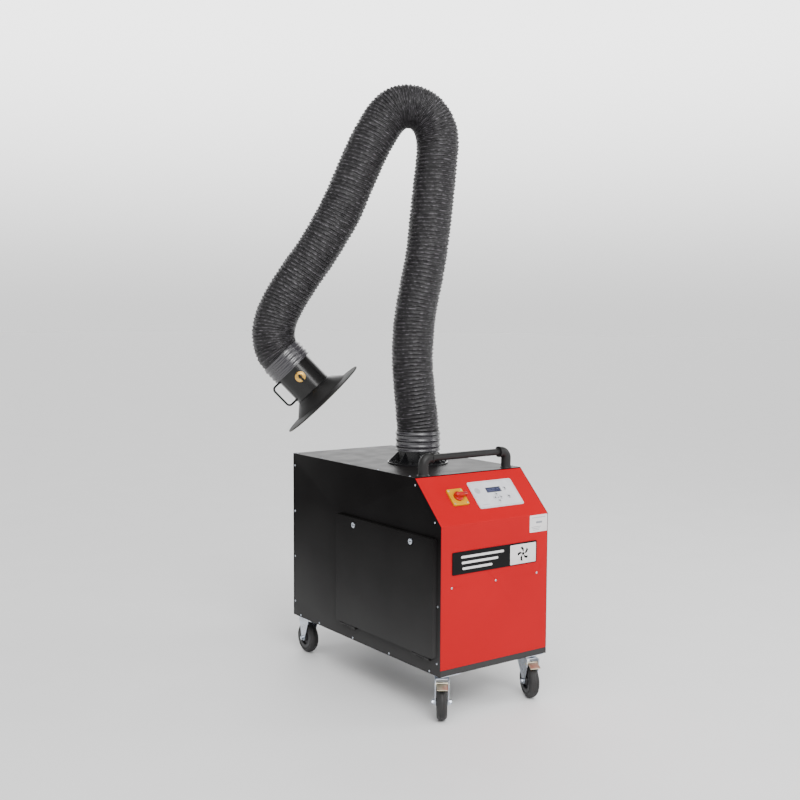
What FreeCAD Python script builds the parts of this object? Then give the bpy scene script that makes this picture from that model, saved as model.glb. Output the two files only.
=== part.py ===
import FreeCAD, Part
import Sketcher
import math
import os
from FreeCAD import Placement, Rotation, Vector

# A mobile fume extractor: a sheet-metal filter cabinet on four castors, with a hose-covered
# extraction arm on its top. Cabinet frame: X to the right, Y from front to rear, Z up,
# zero on the floor under the middle of the cabinet. Every piece is then moved by the
# shift in the sheet, which puts the origin under the middle of the whole machine.

os.makedirs("parts", exist_ok=True)
doc = FreeCAD.newDocument("fume_extractor")

SIZES = {
    # whole machine
    "shift_across": 156.5,
    "shift_along": 6.6,
    # cabinet
    "cabinet_width": 500,
    "cabinet_length": 1000,
    "cabinet_height": 680,
    "floor_gap": 160,
    "sheet": 2,
    "seam": 0.3,
    "slope_setback": 154,
    "slope_drop": 153,
    "plinth_height": 22,
    # service door
    "door_front_edge": 22,
    "door_rear_edge": 645,
    "door_low": 62,
    "door_high": 482,
    "door_depth": 15.7,
    "door_corner": 6,
    "gasket_thick": 3.5,
    "hinge_drop": 6,
    "hinge_inset": 4,
    "knuckle_radius": 3.5,
    "pin_radius": 1.5,
    "latch_head_radius": 10.5,
    "latch_shank_radius": 4,
    # push handle
    "handle_half_span": 195,
    "handle_from_front": 175,
    "handle_axis_height": 62,
    "handle_bar_radius": 12.5,
    "handle_tube_radius": 18.5,
    "handle_bend": 26,
    # controls on the sloping panel
    "isolator_side": 70,
    "isolator_thick": 6,
    "isolator_across": 135,
    "isolator_down": 104.5,
    "keypad_width": 208,
    "keypad_height": 118,
    "keypad_thick": 3,
    "keypad_across": 311,
    "keypad_down": 106,
    "key_radius": 6.9,
    "display_width": 64,
    "display_height": 19,
    # name plate
    "nameplate_width": 394,
    "nameplate_height": 80,
    "nameplate_thick": 2,
    # filters and fan
    "filter_width": 460,
    "filter_length": 577,
    "shelf_height": 76,
    "fan_height": 300,
    "fan_radius": 165,
    "impeller_radius": 140,
    # arm
    "arm_from_front": 470,
    "arm_turn": 150,
    "flange_radius": 117.5,
    "flange_thick": 6,
    "collar_radius": 77,
    "collar_bore": 73,
    "collar_height": 50,
    "hose_radius": 82.5,
    "hose_bore": 76,
    "cuff_radius": 85,
    "cuff_rib_radius": 87,
    "link_half_height": 12,
    "link_half_thick": 9,
    "pivot_radius": 6,
    # hood
    "hood_across": 367,
    "hood_above": 248,
    "hood_tilt": 43.95,
    "hood_rim_radius": 178,
    "hood_cone_radius": 122,
    "hood_tube_radius": 75,
    "hood_tube_bore": 73,
    "hood_length": 215,
    "damper_back": 127,
    "damper_radius": 72.5,
    "hood_handle_wire": 4,
    # castors
    "wheel_radius": 62.5,
    "tread_width": 37,
    "hub_radius": 44,
    "castor_across": 200,
    "front_castor_from_front": 55,
    "rear_castor_from_front": 966,
    "castor_trail": 38,
    "front_left_heading": 234.3,
    "front_right_heading": 250,
    "axle_radius": 6,
}

dims = doc.addObject("Spreadsheet::Sheet", "dims")
for row, (name, value) in enumerate(SIZES.items(), 1):
    dims.set("A%d" % row, name)
    dims.set("B%d" % row, str(value))
    dims.setAlias("B%d" % row, name)
doc.recompute()


def size(name):
    return float(dims.get(name))


SHIFT = Vector(size("shift_across"), size("shift_along"), 0)
HALF_WIDTH = size("cabinet_width") / 2
FRONT = -size("cabinet_length") / 2
REAR = size("cabinet_length") / 2
FLOOR = size("floor_gap")
TOP = FLOOR + size("cabinet_height")
SHEET = size("sheet")
SEAM = size("seam")
SLOPE_TOP = FRONT + size("slope_setback")
SLOPE_FOOT = TOP - size("slope_drop")
SLOPE_ANGLE = math.degrees(math.atan2(size("slope_drop"), size("slope_setback")))
X_AXIS, Y_AXIS, Z_AXIS = Vector(1, 0, 0), Vector(0, 1, 0), Vector(0, 0, 1)
PIECES = []

# The frames that sub-parts are drawn in
CABINET = Placement(SHIFT, Rotation())
SLOPE = CABINET * Placement(Vector(-HALF_WIDTH, SLOPE_TOP, TOP), Rotation(X_AXIS, SLOPE_ANGLE))
ARM = CABINET * Placement(
    Vector(0, FRONT + size("arm_from_front"), TOP), Rotation(Z_AXIS, size("arm_turn"))
)
HOOD = ARM * Placement(
    Vector(size("hood_across"), 0, size("hood_above")), Rotation(Y_AXIS, size("hood_tilt"))
)


# ---------------------------------------------------------------- modelling helpers
def at(frame, x=0, y=0, z=0, turn=None):
    return frame * Placement(Vector(x, y, z), turn or Rotation())


def new_body(label, place):
    body = doc.addObject("PartDesign::Body", label)
    body.Label = label
    body.Placement = place
    PIECES.append(body)
    return body


def new_feature(label, shape, place):
    piece = doc.addObject("Part::Feature", label)
    piece.Label = label
    piece.Shape = shape
    piece.Placement = place
    PIECES.append(piece)
    return piece


def new_sketch(body, role, offset=None):
    sketch = body.newObject("Sketcher::SketchObject", body.Label + "_sketch")
    plane = [f for f in body.Origin.OriginFeatures if f.Role == role][0]
    sketch.AttachmentSupport = [(plane, "")]
    sketch.MapMode = "FlatFace"
    if offset is not None:
        sketch.AttachmentOffset = offset
    return sketch


def draw_loop(sketch, points):
    first = sketch.GeometryCount
    count = len(points)
    for n in range(count):
        start, end = points[n], points[(n + 1) % count]
        sketch.addGeometry(Part.LineSegment(Vector(*start, 0), Vector(*end, 0)), False)
    for n in range(count):
        sketch.addConstraint(
            Sketcher.Constraint("Coincident", first + n, 2, first + (n + 1) % count, 1)
        )


def draw_circle(sketch, x, y, radius, alias=None):
    index = sketch.addGeometry(Part.Circle(Vector(x, y, 0), Z_AXIS, radius), False)
    if alias:
        constraint = sketch.addConstraint(Sketcher.Constraint("Radius", index, radius))
        sketch.setExpression("Constraints[%d]" % constraint, alias)


def draw_rectangle(sketch, x, y, width, height, wide=None, high=None):
    """A rectangle centred on x, y. wide and high are expressions that drive its sides."""
    first = sketch.GeometryCount
    left, right, low, high_y = x - width / 2, x + width / 2, y - height / 2, y + height / 2
    draw_loop(sketch, [(left, low), (right, low), (right, high_y), (left, high_y)])
    for n, direction in enumerate(("Horizontal", "Vertical", "Horizontal", "Vertical")):
        sketch.addConstraint(Sketcher.Constraint(direction, first + n))
    for kind, edge, expression, value in (
        ("DistanceX", first, wide, width),
        ("DistanceY", first + 1, high, height),
    ):
        if expression:
            constraint = sketch.addConstraint(Sketcher.Constraint(kind, edge, 1, edge, 2, value))
            sketch.setExpression("Constraints[%d]" % constraint, expression)


def pad(body, sketch, length, symmetric=False):
    feature = body.newObject("PartDesign::Pad", body.Label + "_pad")
    feature.Profile = sketch
    if isinstance(length, str):
        feature.setExpression("Length", length)
    else:
        feature.Length = length
    feature.Midplane = symmetric
    body.Tip = feature
    sketch.Visibility = False
    return feature


def pocket(body, sketch, length):
    feature = body.newObject("PartDesign::Pocket", body.Label + "_pocket")
    feature.Profile = sketch
    if isinstance(length, str):
        feature.setExpression("Length", length)
    else:
        feature.Length = length
    body.Tip = feature
    sketch.Visibility = False
    return feature


def revolve(body, points):
    """Turns a closed profile of (radius, height) points about the body's Z axis."""
    sketch = new_sketch(body, "XZ_Plane")
    draw_loop(sketch, points)
    feature = body.newObject("PartDesign::Revolution", body.Label + "_revolution")
    feature.Profile = sketch
    feature.ReferenceAxis = (sketch, ["V_Axis"])
    feature.Angle = 360
    body.Tip = feature
    sketch.Visibility = False
    return feature


def round_edges(body, radius, chosen):
    """Rounds the edges of the body so far for which chosen(edge) is true."""
    doc.recompute()
    base = body.Tip
    names = ["Edge%d" % (n + 1) for n, e in enumerate(base.Shape.Edges) if chosen(e)]
    feature = body.newObject("PartDesign::Fillet", body.Label + "_fillet")
    feature.Base = (base, names)
    if isinstance(radius, str):
        feature.setExpression("Radius", radius)
    else:
        feature.Radius = radius
    body.Tip = feature
    return feature


def runs_along(axis, shortest=0.0, longest=1e9):
    def test(edge):
        if len(edge.Vertexes) != 2:
            return False
        line = edge.Vertexes[1].Point.sub(edge.Vertexes[0].Point)
        straight = abs(line.Length - edge.Length) < 1e-6
        lined_up = line.Length > 0 and abs(line.dot(axis)) > 0.999 * line.Length
        return straight and lined_up and shortest <= line.Length <= longest

    return test


def cylinder(radius, length, x=0, y=0, z=0, axis=None):
    return Part.makeCylinder(radius, length, Vector(x, y, z), axis or Z_AXIS)


def block(x0, x1, y0, y1, z0, z1):
    return Part.makeBox(x1 - x0, y1 - y0, z1 - z0, Vector(x0, y0, z0))


def fused(shapes):
    return shapes[0].fuse(shapes[1:]).removeSplitter()


def polygon_plate(points, y0, y1):
    """A plate with its outline in the XZ plane, from y0 to y1."""
    wire = Part.makePolygon([Vector(x, y0, z) for x, z in points + points[:1]])
    return Part.Face(wire).extrude(Vector(0, y1 - y0, 0))


def bent_rod(points, radius, bend):
    """A round rod along straight legs that are joined by bends."""
    corners = [Vector(*p) for p in points]
    edges, start = [], corners[0]
    for before, corner, after in zip(corners, corners[1:], corners[2:]):
        come = (corner - before).normalize()
        go = (after - corner).normalize()
        half = come.getAngle(go) / 2
        back = bend * math.tan(half)
        first, last = corner - come * back, corner + go * back
        inward = (go - come).normalize()
        middle = corner + inward * (bend / math.cos(half) - bend)
        edges.append(Part.LineSegment(start, first).toShape())
        edges.append(Part.Arc(first, middle, last).toShape())
        start = last
    edges.append(Part.LineSegment(start, corners[-1]).toShape())
    outline = Part.Wire(Part.Circle(corners[0], corners[1] - corners[0], radius).toShape())
    return Part.Wire(edges).makePipeShell([outline], True, False)


# ---------------------------------------------------------------- screw positions
SIDE_SCREWS = [
    (149, 654),
    (34, 538),
    (18, 45),
    (15, 247),
    (60, 8.5),
    (306, 8.5),
    (549, 8.5),
    (794, 8.5),
    (940, 8.5),
    (985, 60),
    (985, 250),
    (985, 440),
    (985, 630),
]
FRONT_SCREWS = [(-200, 308), (0, 309), (197, 310)]
REAR_SCREWS = [(x, z) for x in (-236, 236) for z in (25, 235, 445, 655)]
TOP_SCREWS = [(x, y) for x in (-243, 243) for y in (190, 390, 590, 790, 975)]
TOP_SCREWS += [(x, 992) for x in (-120, 0, 120)]
SCREW_SHANK = 2.0
SCREW_HOLE = 2.05
FLANGE_BOLTS = [(102, 22.5 + 45 * n) for n in range(8)]
BOLT_HOLE = 4.05


def bolt_centre(radius, angle):
    return radius * math.cos(math.radians(angle)), radius * math.sin(math.radians(angle))


# ---------------------------------------------------------------- cabinet shell
def base_tray():
    body = new_body("base_tray", at(CABINET, 0, -SEAM * 4, FLOOR))
    width = size("cabinet_width") - 2 * SHEET - 2 * SEAM
    length = size("cabinet_length") - SHEET - SEAM
    centre = -(SHEET + SEAM) / 2 + SEAM * 4
    sketch = new_sketch(body, "XY_Plane")
    draw_rectangle(
        sketch, 0, centre, width, length,
        "dims.cabinet_width - 2 * dims.sheet - 2 * dims.seam",
        "dims.cabinet_length - dims.sheet - dims.seam",
    )
    pad(body, sketch, "dims.plinth_height")
    lift = Placement(Vector(0, 0, size("plinth_height")), Rotation())
    sketch = new_sketch(body, "XY_Plane", lift)
    draw_rectangle(sketch, 0, centre, width - 2 * SHEET, length - 2 * SHEET)
    pocket(body, sketch, "dims.plinth_height - dims.sheet")


def side_outline():
    reach = TOP - SHEET - SEAM
    meet = SLOPE_TOP - (TOP - reach) * size("slope_setback") / size("slope_drop")
    return [(FRONT, FLOOR), (REAR, FLOOR), (REAR, reach), (meet, reach), (FRONT, SLOPE_FOOT)]


def door_opening():
    """The service opening in the left side, as y and z limits."""
    rim = 14
    return (
        FRONT + size("door_front_edge") + rim,
        FRONT + size("door_rear_edge") - rim,
        FLOOR + size("door_low") + 12,
        FLOOR + size("door_high") - 12,
    )


def side_panel(label, x, with_door):
    body = new_body(label, at(CABINET, x))
    sketch = new_sketch(body, "YZ_Plane")
    draw_loop(sketch, side_outline())
    for y, z in SIDE_SCREWS:
        draw_circle(sketch, FRONT + y, FLOOR + z, SCREW_HOLE)
    if with_door:
        y0, y1, z0, z1 = door_opening()
        draw_rectangle(sketch, (y0 + y1) / 2, (z0 + z1) / 2, y1 - y0, z1 - z0)
    pad(body, sketch, "dims.sheet")


def rear_panel():
    body = new_body("rear_panel", at(CABINET, 0, REAR, 0))
    sketch = new_sketch(body, "XZ_Plane")
    high = size("cabinet_height") - SHEET - SEAM
    draw_rectangle(
        sketch, 0, FLOOR + high / 2, size("cabinet_width") - 2 * SHEET - 2 * SEAM, high,
        "dims.cabinet_width - 2 * dims.sheet - 2 * dims.seam",
        "dims.cabinet_height - dims.sheet - dims.seam",
    )
    for x, z in REAR_SCREWS:
        draw_circle(sketch, x, FLOOR + z, SCREW_HOLE)
    for row in range(12):
        for column in (-1, 0, 1):
            draw_rectangle(sketch, column * 110, FLOOR + 330 + row * 22, 90, 8)
    draw_circle(sketch, GLAND_ACROSS, FLOOR + GLAND_UP, 10.05)
    pad(body, sketch, "dims.sheet")


def top_cover():
    body = new_body("top_cover", at(CABINET, 0, 0, TOP - SHEET))
    sketch = new_sketch(body, "XY_Plane")
    front = SLOPE_TOP - 2
    draw_rectangle(
        sketch, 0, (front + REAR) / 2, size("cabinet_width"), REAR - front,
        "dims.cabinet_width", "dims.cabinet_length - dims.slope_setback + 2",
    )
    centre = FRONT + size("arm_from_front")
    draw_circle(sketch, 0, centre, size("collar_bore"), "dims.collar_bore")
    for radius, angle in FLANGE_BOLTS:
        x, y = bolt_centre(radius, angle + size("arm_turn"))
        draw_circle(sketch, x, centre + y, BOLT_HOLE)
    for x, y in TOP_SCREWS:
        draw_circle(sketch, x, FRONT + y, SCREW_HOLE)
    pad(body, sketch, "dims.sheet")


def front_panel():
    width = size("cabinet_width") - 2 * SHEET - 2 * SEAM
    body = new_body("front_panel", at(CABINET, -width / 2))
    run, rise = math.cos(math.radians(SLOPE_ANGLE)), math.sin(math.radians(SLOPE_ANGLE))
    length = math.hypot(size("slope_setback"), size("slope_drop")) - 3.6
    end = (FRONT + run * length, SLOPE_FOOT + rise * length)
    inner_end = (end[0] + SHEET * rise, end[1] - SHEET * run)
    bend = SLOPE_FOOT - SHEET * math.tan(math.radians(SLOPE_ANGLE) / 2)
    low = FLOOR + size("plinth_height") + SEAM
    sketch = new_sketch(body, "YZ_Plane")
    draw_loop(
        sketch,
        [(FRONT, low), (FRONT, SLOPE_FOOT), end, inner_end, (FRONT + SHEET, bend), (FRONT + SHEET, low)],
    )
    pad(body, sketch, "dims.cabinet_width - 2 * dims.sheet - 2 * dims.seam")
    # holes for the isolator neck and for the keypad electronics
    slope = Placement(
        Vector(width / 2 - HALF_WIDTH, SLOPE_TOP, TOP), Rotation(X_AXIS, SLOPE_ANGLE)
    )
    sketch = new_sketch(body, "XY_Plane", slope)
    draw_circle(sketch, size("isolator_across"), -size("isolator_down"), 20)
    draw_rectangle(sketch, size("keypad_across"), -size("keypad_down"), 180, 92)
    pocket(body, sketch, 4)
    sketch = new_sketch(body, "XZ_Plane", Placement(Vector(width / 2, 0, -FRONT), Rotation()))
    for x, z in FRONT_SCREWS:
        draw_circle(sketch, x, FLOOR + z, SCREW_HOLE)
    pocket(body, sketch, 4)


def screw(place):
    head = Part.makeCone(4, 2.8, 2.2)
    shank = cylinder(SCREW_SHANK, SHEET, 0, 0, -SHEET + 0.05)
    shape = fused([head, shank])
    shape.Placement = place
    return shape


def panel_screws():
    shapes = []
    for y, z in SIDE_SCREWS:
        for side in (-1, 1):
            turn = Rotation(Y_AXIS, 90 * side)
            shapes.append(screw(Placement(Vector(side * HALF_WIDTH, FRONT + y, FLOOR + z), turn)))
    for x, z in FRONT_SCREWS:
        shapes.append(screw(Placement(Vector(x, FRONT, FLOOR + z), Rotation(X_AXIS, 90))))
    for x, z in REAR_SCREWS:
        shapes.append(screw(Placement(Vector(x, REAR, FLOOR + z), Rotation(X_AXIS, -90))))
    for x, y in TOP_SCREWS:
        shapes.append(screw(Placement(Vector(x, FRONT + y, TOP), Rotation())))
    new_feature("panel_screws", Part.makeCompound(shapes), CABINET)


# ---------------------------------------------------------------- service door
HINGES = [(48, 146), (515, 620)]
LATCHES = [("latch_front", 151), ("latch_rear", 517)]
LATCH_UP = 455


def hinge_line():
    return (
        -HALF_WIDTH - SEAM - size("door_depth") + size("hinge_inset"),
        FLOOR + size("door_low") - size("hinge_drop"),
    )


def service_door():
    outer = -HALF_WIDTH - SEAM - size("door_depth")
    body = new_body("service_door", at(CABINET, outer))
    width = size("door_rear_edge") - size("door_front_edge")
    height = size("door_high") - size("door_low")
    y = FRONT + size("door_front_edge") + width / 2
    z = FLOOR + size("door_low") + height / 2
    sketch = new_sketch(body, "YZ_Plane")
    draw_rectangle(
        sketch, y, z, width, height,
        "dims.door_rear_edge - dims.door_front_edge", "dims.door_high - dims.door_low",
    )
    for _, along in LATCHES:
        draw_circle(sketch, FRONT + along, FLOOR + LATCH_UP, size("latch_shank_radius") + 0.1)
    pad(body, sketch, "dims.door_depth")
    round_edges(body, "dims.door_corner", runs_along(X_AXIS, 5))
    lift = Placement(Vector(0, 0, size("door_depth")), Rotation())
    sketch = new_sketch(body, "YZ_Plane", lift)
    draw_rectangle(sketch, y, z, width - 2 * SHEET, height - 2 * SHEET)
    pocket(body, sketch, "dims.door_depth - dims.sheet")
    # the middle knuckle of each hinge, with the tab that carries it
    _, hinge_z = hinge_line()
    for first, last in HINGES:
        quarter = (last - first) / 4
        start = Placement(Vector(0, 0, -(FRONT + last - quarter - SEAM)), Rotation())
        sketch = new_sketch(body, "XZ_Plane", start)
        draw_circle(sketch, size("hinge_inset"), hinge_z, size("knuckle_radius"))
        draw_circle(sketch, size("hinge_inset"), hinge_z, size("pin_radius") + 0.1)
        pad(body, sketch, 2 * quarter - 2 * SEAM)
        sketch = new_sketch(body, "XZ_Plane", start)
        low = hinge_z + size("knuckle_radius") - 0.9
        high = hinge_z + size("hinge_drop") + SHEET
        draw_rectangle(sketch, size("hinge_inset"), (low + high) / 2, 3, high - low)
        pad(body, sketch, 2 * quarter - 2 * SEAM)


def door_gasket():
    y0, y1, z0, z1 = door_opening()
    body = new_body("door_gasket", at(CABINET, -HALF_WIDTH - size("gasket_thick")))
    sketch = new_sketch(body, "YZ_Plane")
    draw_rectangle(sketch, (y0 + y1) / 2, (z0 + z1) / 2 + 1.5, y1 - y0 + 22, z1 - z0 + 15)
    draw_rectangle(sketch, (y0 + y1) / 2, (z0 + z1) / 2, y1 - y0, z1 - z0)
    pad(body, sketch, "dims.gasket_thick")


def door_hinges():
    """Two fixed leaves under the door, each with two knuckles and a pin."""
    x, z = hinge_line()
    shapes = []
    for first, last in HINGES:
        y0, y1 = FRONT + first, FRONT + last
        quarter = (y1 - y0) / 4
        leaf = [block(x - 1.5, -HALF_WIDTH, y0, y1, z - 7, z - 5)]
        for start in (y0, y1 - quarter):
            leaf.append(cylinder(size("knuckle_radius"), quarter, x, start, z, Y_AXIS))
            leaf.append(block(x - 1.5, x + 1.5, start, start + quarter, z - 6, z - 2.5))
        bore = cylinder(size("pin_radius") + 0.05, y1 - y0 + 2, x, y0 - 1, z, Y_AXIS)
        shapes.append(fused(leaf).cut(bore))
        shapes.append(cylinder(size("pin_radius"), y1 - y0, x, y0, z, Y_AXIS))
    new_feature("door_hinges", Part.makeCompound(shapes), CABINET)


def latch(label, along):
    """A quarter-turn latch: slotted head outside the door, cam behind the side panel."""
    face = -HALF_WIDTH - SEAM - size("door_depth")
    body = new_body(label, at(CABINET, face, FRONT + along, FLOOR + LATCH_UP))
    sketch = new_sketch(body, "YZ_Plane", Placement(Vector(0, 0, -4.2), Rotation()))
    draw_circle(sketch, 0, 0, size("latch_head_radius"), "dims.latch_head_radius")
    pad(body, sketch, 4)
    sketch = new_sketch(body, "YZ_Plane", Placement(Vector(0, 0, -0.2), Rotation()))
    draw_circle(sketch, 0, 0, size("latch_shank_radius"), "dims.latch_shank_radius")
    pad(body, sketch, "dims.door_depth + dims.seam + dims.sheet + 2")
    behind = size("door_depth") + SEAM + SHEET + 0.5
    sketch = new_sketch(body, "YZ_Plane", Placement(Vector(0, 0, behind), Rotation()))
    draw_rectangle(sketch, 9, 0, 28, 9)
    pad(body, sketch, "dims.sheet")
    # the screwdriver slot
    sketch = new_sketch(body, "YZ_Plane", Placement(Vector(0, 0, -2.7), Rotation()))
    draw_rectangle(sketch, 0, 0, 17, 2.4)
    cut = pocket(body, sketch, 4)
    cut.Reversed = False


# ---------------------------------------------------------------- push handle
def handle_bar():
    reach = size("handle_half_span") - size("handle_bend") + 6
    height = TOP + size("handle_axis_height")
    bar = doc.addObject("Part::Cylinder", "handle_bar")
    bar.Label = "handle_bar"
    bar.setExpression("Radius", "dims.handle_bar_radius")
    bar.setExpression("Height", "2 * (dims.handle_half_span - dims.handle_bend + 6)")
    bar.Placement = at(
        CABINET, -reach, FRONT + size("handle_from_front"), height, Rotation(Y_AXIS, 90)
    )
    PIECES.append(bar)


def handle_elbows():
    """Two moulded elbows that stand on the top cover and hold the bar's ends."""
    radius, up = size("handle_tube_radius"), size("handle_axis_height")
    bend = size("handle_bend")
    shapes = []
    for side in (-1, 1):
        x = side * size("handle_half_span")
        mouth = side * (size("handle_half_span") - bend - 12)
        tube = bent_rod([(x, 0, 0), (x, 0, up), (mouth, 0, up)], radius, bend)
        foot = Part.makeCone(radius + 5, radius, 5, Vector(x, 0, 0))
        inward = Vector(-side, 0, 0)
        lip = Part.makeCylinder(radius + 1.8, 6, Vector(mouth, 0, up) - inward * 6, inward)
        bore = Part.makeCylinder(
            size("handle_bar_radius") + 0.05, 20, Vector(mouth, 0, up) - inward * 18.2, inward
        )
        shapes.append(fused([tube, foot, lip]).cut(bore))
    place = at(CABINET, 0, FRONT + size("handle_from_front"), TOP)
    new_feature("handle_elbows", Part.makeCompound(shapes), place)


# ---------------------------------------------------------------- controls
KEYS = [(363, 89), (363, 126), (310.5, 110), (298, 125), (325, 125.5), (310.6, 140)]
KNOB_SHAFT = 4


def isolator_plate():
    place = at(SLOPE, size("isolator_across"), -size("isolator_down"))
    body = new_body("isolator_plate", place)
    sketch = new_sketch(body, "XY_Plane")
    side = size("isolator_side")
    draw_rectangle(sketch, 0, 0, side, side, "dims.isolator_side", "dims.isolator_side")
    draw_circle(sketch, 0, 0, KNOB_SHAFT + 0.05)
    pad(body, sketch, "dims.isolator_thick")
    round_edges(body, 5, runs_along(Z_AXIS))
    sketch = new_sketch(body, "XY_Plane", Placement(Vector(0, 0, -32), Rotation()))
    draw_circle(sketch, 0, 0, 19.8)
    draw_circle(sketch, 0, 0, KNOB_SHAFT + 0.05)
    pad(body, sketch, 32.5)


def isolator_knob():
    lift = size("isolator_thick") + SEAM
    place = at(SLOPE, size("isolator_across"), -size("isolator_down"), lift)
    body = new_body("isolator_knob", place)
    sketch = new_sketch(body, "XY_Plane")
    draw_circle(sketch, 0, 0, 22)
    pad(body, sketch, 7)
    sketch = new_sketch(body, "XY_Plane", Placement(Vector(0, 0, 6), Rotation()))
    draw_rectangle(sketch, 9, 0, 54, 15)
    pad(body, sketch, 15)
    round_edges(body, 5, runs_along(Z_AXIS, 10))
    sketch = new_sketch(body, "XY_Plane", Placement(Vector(0, 0, -25), Rotation()))
    draw_circle(sketch, 0, 0, KNOB_SHAFT)
    pad(body, sketch, 26)


def keypad_frame():
    place = at(SLOPE, size("keypad_across"), -size("keypad_down"))
    body = new_body("keypad_frame", place)
    sketch = new_sketch(body, "XY_Plane")
    draw_rectangle(
        sketch, 0, 0, size("keypad_width"), size("keypad_height"),
        "dims.keypad_width", "dims.keypad_height",
    )
    pad(body, sketch, "dims.keypad_thick")
    round_edges(body, 8, runs_along(Z_AXIS))
    sketch = new_sketch(body, "XY_Plane", Placement(Vector(0, 0, size("keypad_thick")), Rotation()))
    for across, down in KEYS:
        draw_circle(
            sketch, across - size("keypad_across"), size("keypad_down") - down,
            size("key_radius") + 0.1,
        )
    draw_rectangle(
        sketch, -1, size("keypad_down") - 89.5, size("display_width"), size("display_height")
    )
    pocket(body, sketch, "dims.keypad_thick + 1")


def keypad_keys():
    """Six low domed keys that sit in the keypad frame."""
    shapes = []
    for across, down in KEYS:
        stem = cylinder(size("key_radius"), size("keypad_thick") + 0.4, across, -down)
        dome = Part.makeCone(
            size("key_radius"), size("key_radius") - 1.6, 0.9,
            Vector(across, -down, size("keypad_thick") + 0.4),
        )
        shapes.append(fused([stem, dome]))
    new_feature("keypad_keys", Part.makeCompound(shapes), SLOPE)


def display_window():
    width, height = size("display_width") - 0.2, size("display_height") - 0.2
    pane = doc.addObject("Part::Box", "display_window")
    pane.Label = "display_window"
    pane.setExpression("Length", "dims.display_width - 0.2")
    pane.setExpression("Width", "dims.display_height - 0.2")
    pane.setExpression("Height", "dims.keypad_thick - 0.5")
    pane.Placement = at(SLOPE, size("keypad_across") - 1 - width / 2, -89.5 - height / 2)
    PIECES.append(pane)


def nameplate():
    body = new_body("nameplate", at(CABINET, -3, FRONT, FLOOR + 392))
    sketch = new_sketch(body, "XZ_Plane")
    draw_rectangle(
        sketch, 0, 0, size("nameplate_width"), size("nameplate_height"),
        "dims.nameplate_width", "dims.nameplate_height",
    )
    pad(body, sketch, "dims.nameplate_thick")
    round_edges(body, 4, runs_along(Y_AXIS))


# ---------------------------------------------------------------- filters, fan and mains inlet
GLAND_ACROSS = -190
GLAND_UP = 80
FILTER_MIDDLE = 333.5


def inner_frame():
    """The welded shelf that the filters stand on, with the bulkhead in front of the fan."""
    shelf_z = FLOOR + size("shelf_height")
    wide = HALF_WIDTH - SHEET - SEAM
    shelf = block(-wide, wide, FRONT + 3, 140, shelf_z - SHEET, shelf_z)
    window = block(-205, 205, FRONT + 70, 100, shelf_z - 10, shelf_z + 10)
    upright = block(-wide, wide, 140, 142, FLOOR + size("plinth_height") + SEAM, TOP - 4)
    inlet = cylinder(95, 20, 0, 130, FLOOR + size("fan_height"), Y_AXIS)
    new_feature("inner_frame", fused([shelf.cut(window), upright.cut(inlet)]), CABINET)


def filter_block(label, low, high):
    cassette = doc.addObject("Part::Box", label)
    cassette.Label = label
    cassette.setExpression("Length", "dims.filter_width")
    cassette.setExpression("Width", "dims.filter_length")
    cassette.Height = high - low
    cassette.Placement = at(
        CABINET, -size("filter_width") / 2, FRONT + FILTER_MIDDLE - size("filter_length") / 2,
        FLOOR + size("shelf_height") + low,
    )
    PIECES.append(cassette)


def fan_scroll():
    z = FLOOR + size("fan_height")
    radius = size("fan_radius")
    outer = fused([
        cylinder(radius, 130, 0, 150, z, Y_AXIS),
        block(20, radius, 150, 280, z, z + 240),
    ])
    inner = fused([
        cylinder(radius - SHEET, 126, 0, 152, z, Y_AXIS),
        block(20 + SHEET, radius - SHEET, 152, 278, z, z + 250),
    ])
    shell = outer.cut([inner, cylinder(95, 10, 0, 145, z, Y_AXIS), cylinder(40, 10, 0, 275, z, Y_AXIS)])
    new_feature("fan_scroll", shell, CABINET)


def impeller():
    """Radial wheel: back plate, front ring, twelve blades and a bored hub."""
    radius = size("impeller_radius")
    shapes = [
        cylinder(radius, 3, 0, 94, 0, Y_AXIS),
        cylinder(radius, 3, 0, 0, 0, Y_AXIS).cut(cylinder(98, 5, 0, -1, 0, Y_AXIS)),
        cylinder(22, 50, 0, 46, 0, Y_AXIS),
    ]
    blade = block(88, radius - 3, 1, 95, -1, 1)
    for n in range(12):
        turned = blade.copy()
        turned.Placement = Placement(Vector(), Rotation(Y_AXIS, 30 * n)) * turned.Placement
        shapes.append(turned)
    wheel = fused(shapes).cut(cylinder(10, 70, 0, 40, 0, Y_AXIS))
    new_feature("impeller", wheel, at(CABINET, 0, 165, FLOOR + size("fan_height")))


def fan_motor():
    z = FLOOR + size("fan_height")
    shapes = [
        cylinder(60, 6, 0, 280.2, z, Y_AXIS),
        cylinder(72, 150, 0, 286, z, Y_AXIS),
        cylinder(9.95, 66, 0, 216, z, Y_AXIS),
        block(-35, 35, 320, 400, z + 60, z + 95),
    ]
    new_feature("fan_motor", fused(shapes), CABINET)


def cable_gland():
    """Empty mains cable gland in the rear panel, open to receive a cable."""
    body = new_body(
        "cable_gland",
        at(CABINET, GLAND_ACROSS, REAR, FLOOR + GLAND_UP, Rotation(X_AXIS, -90)),
    )
    revolve(
        body,
        [(5.5, -12), (10, -12), (10, 0), (15, 0), (15, 6), (12, 6), (12, 16), (9, 22), (5.5, 22)],
    )


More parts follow.
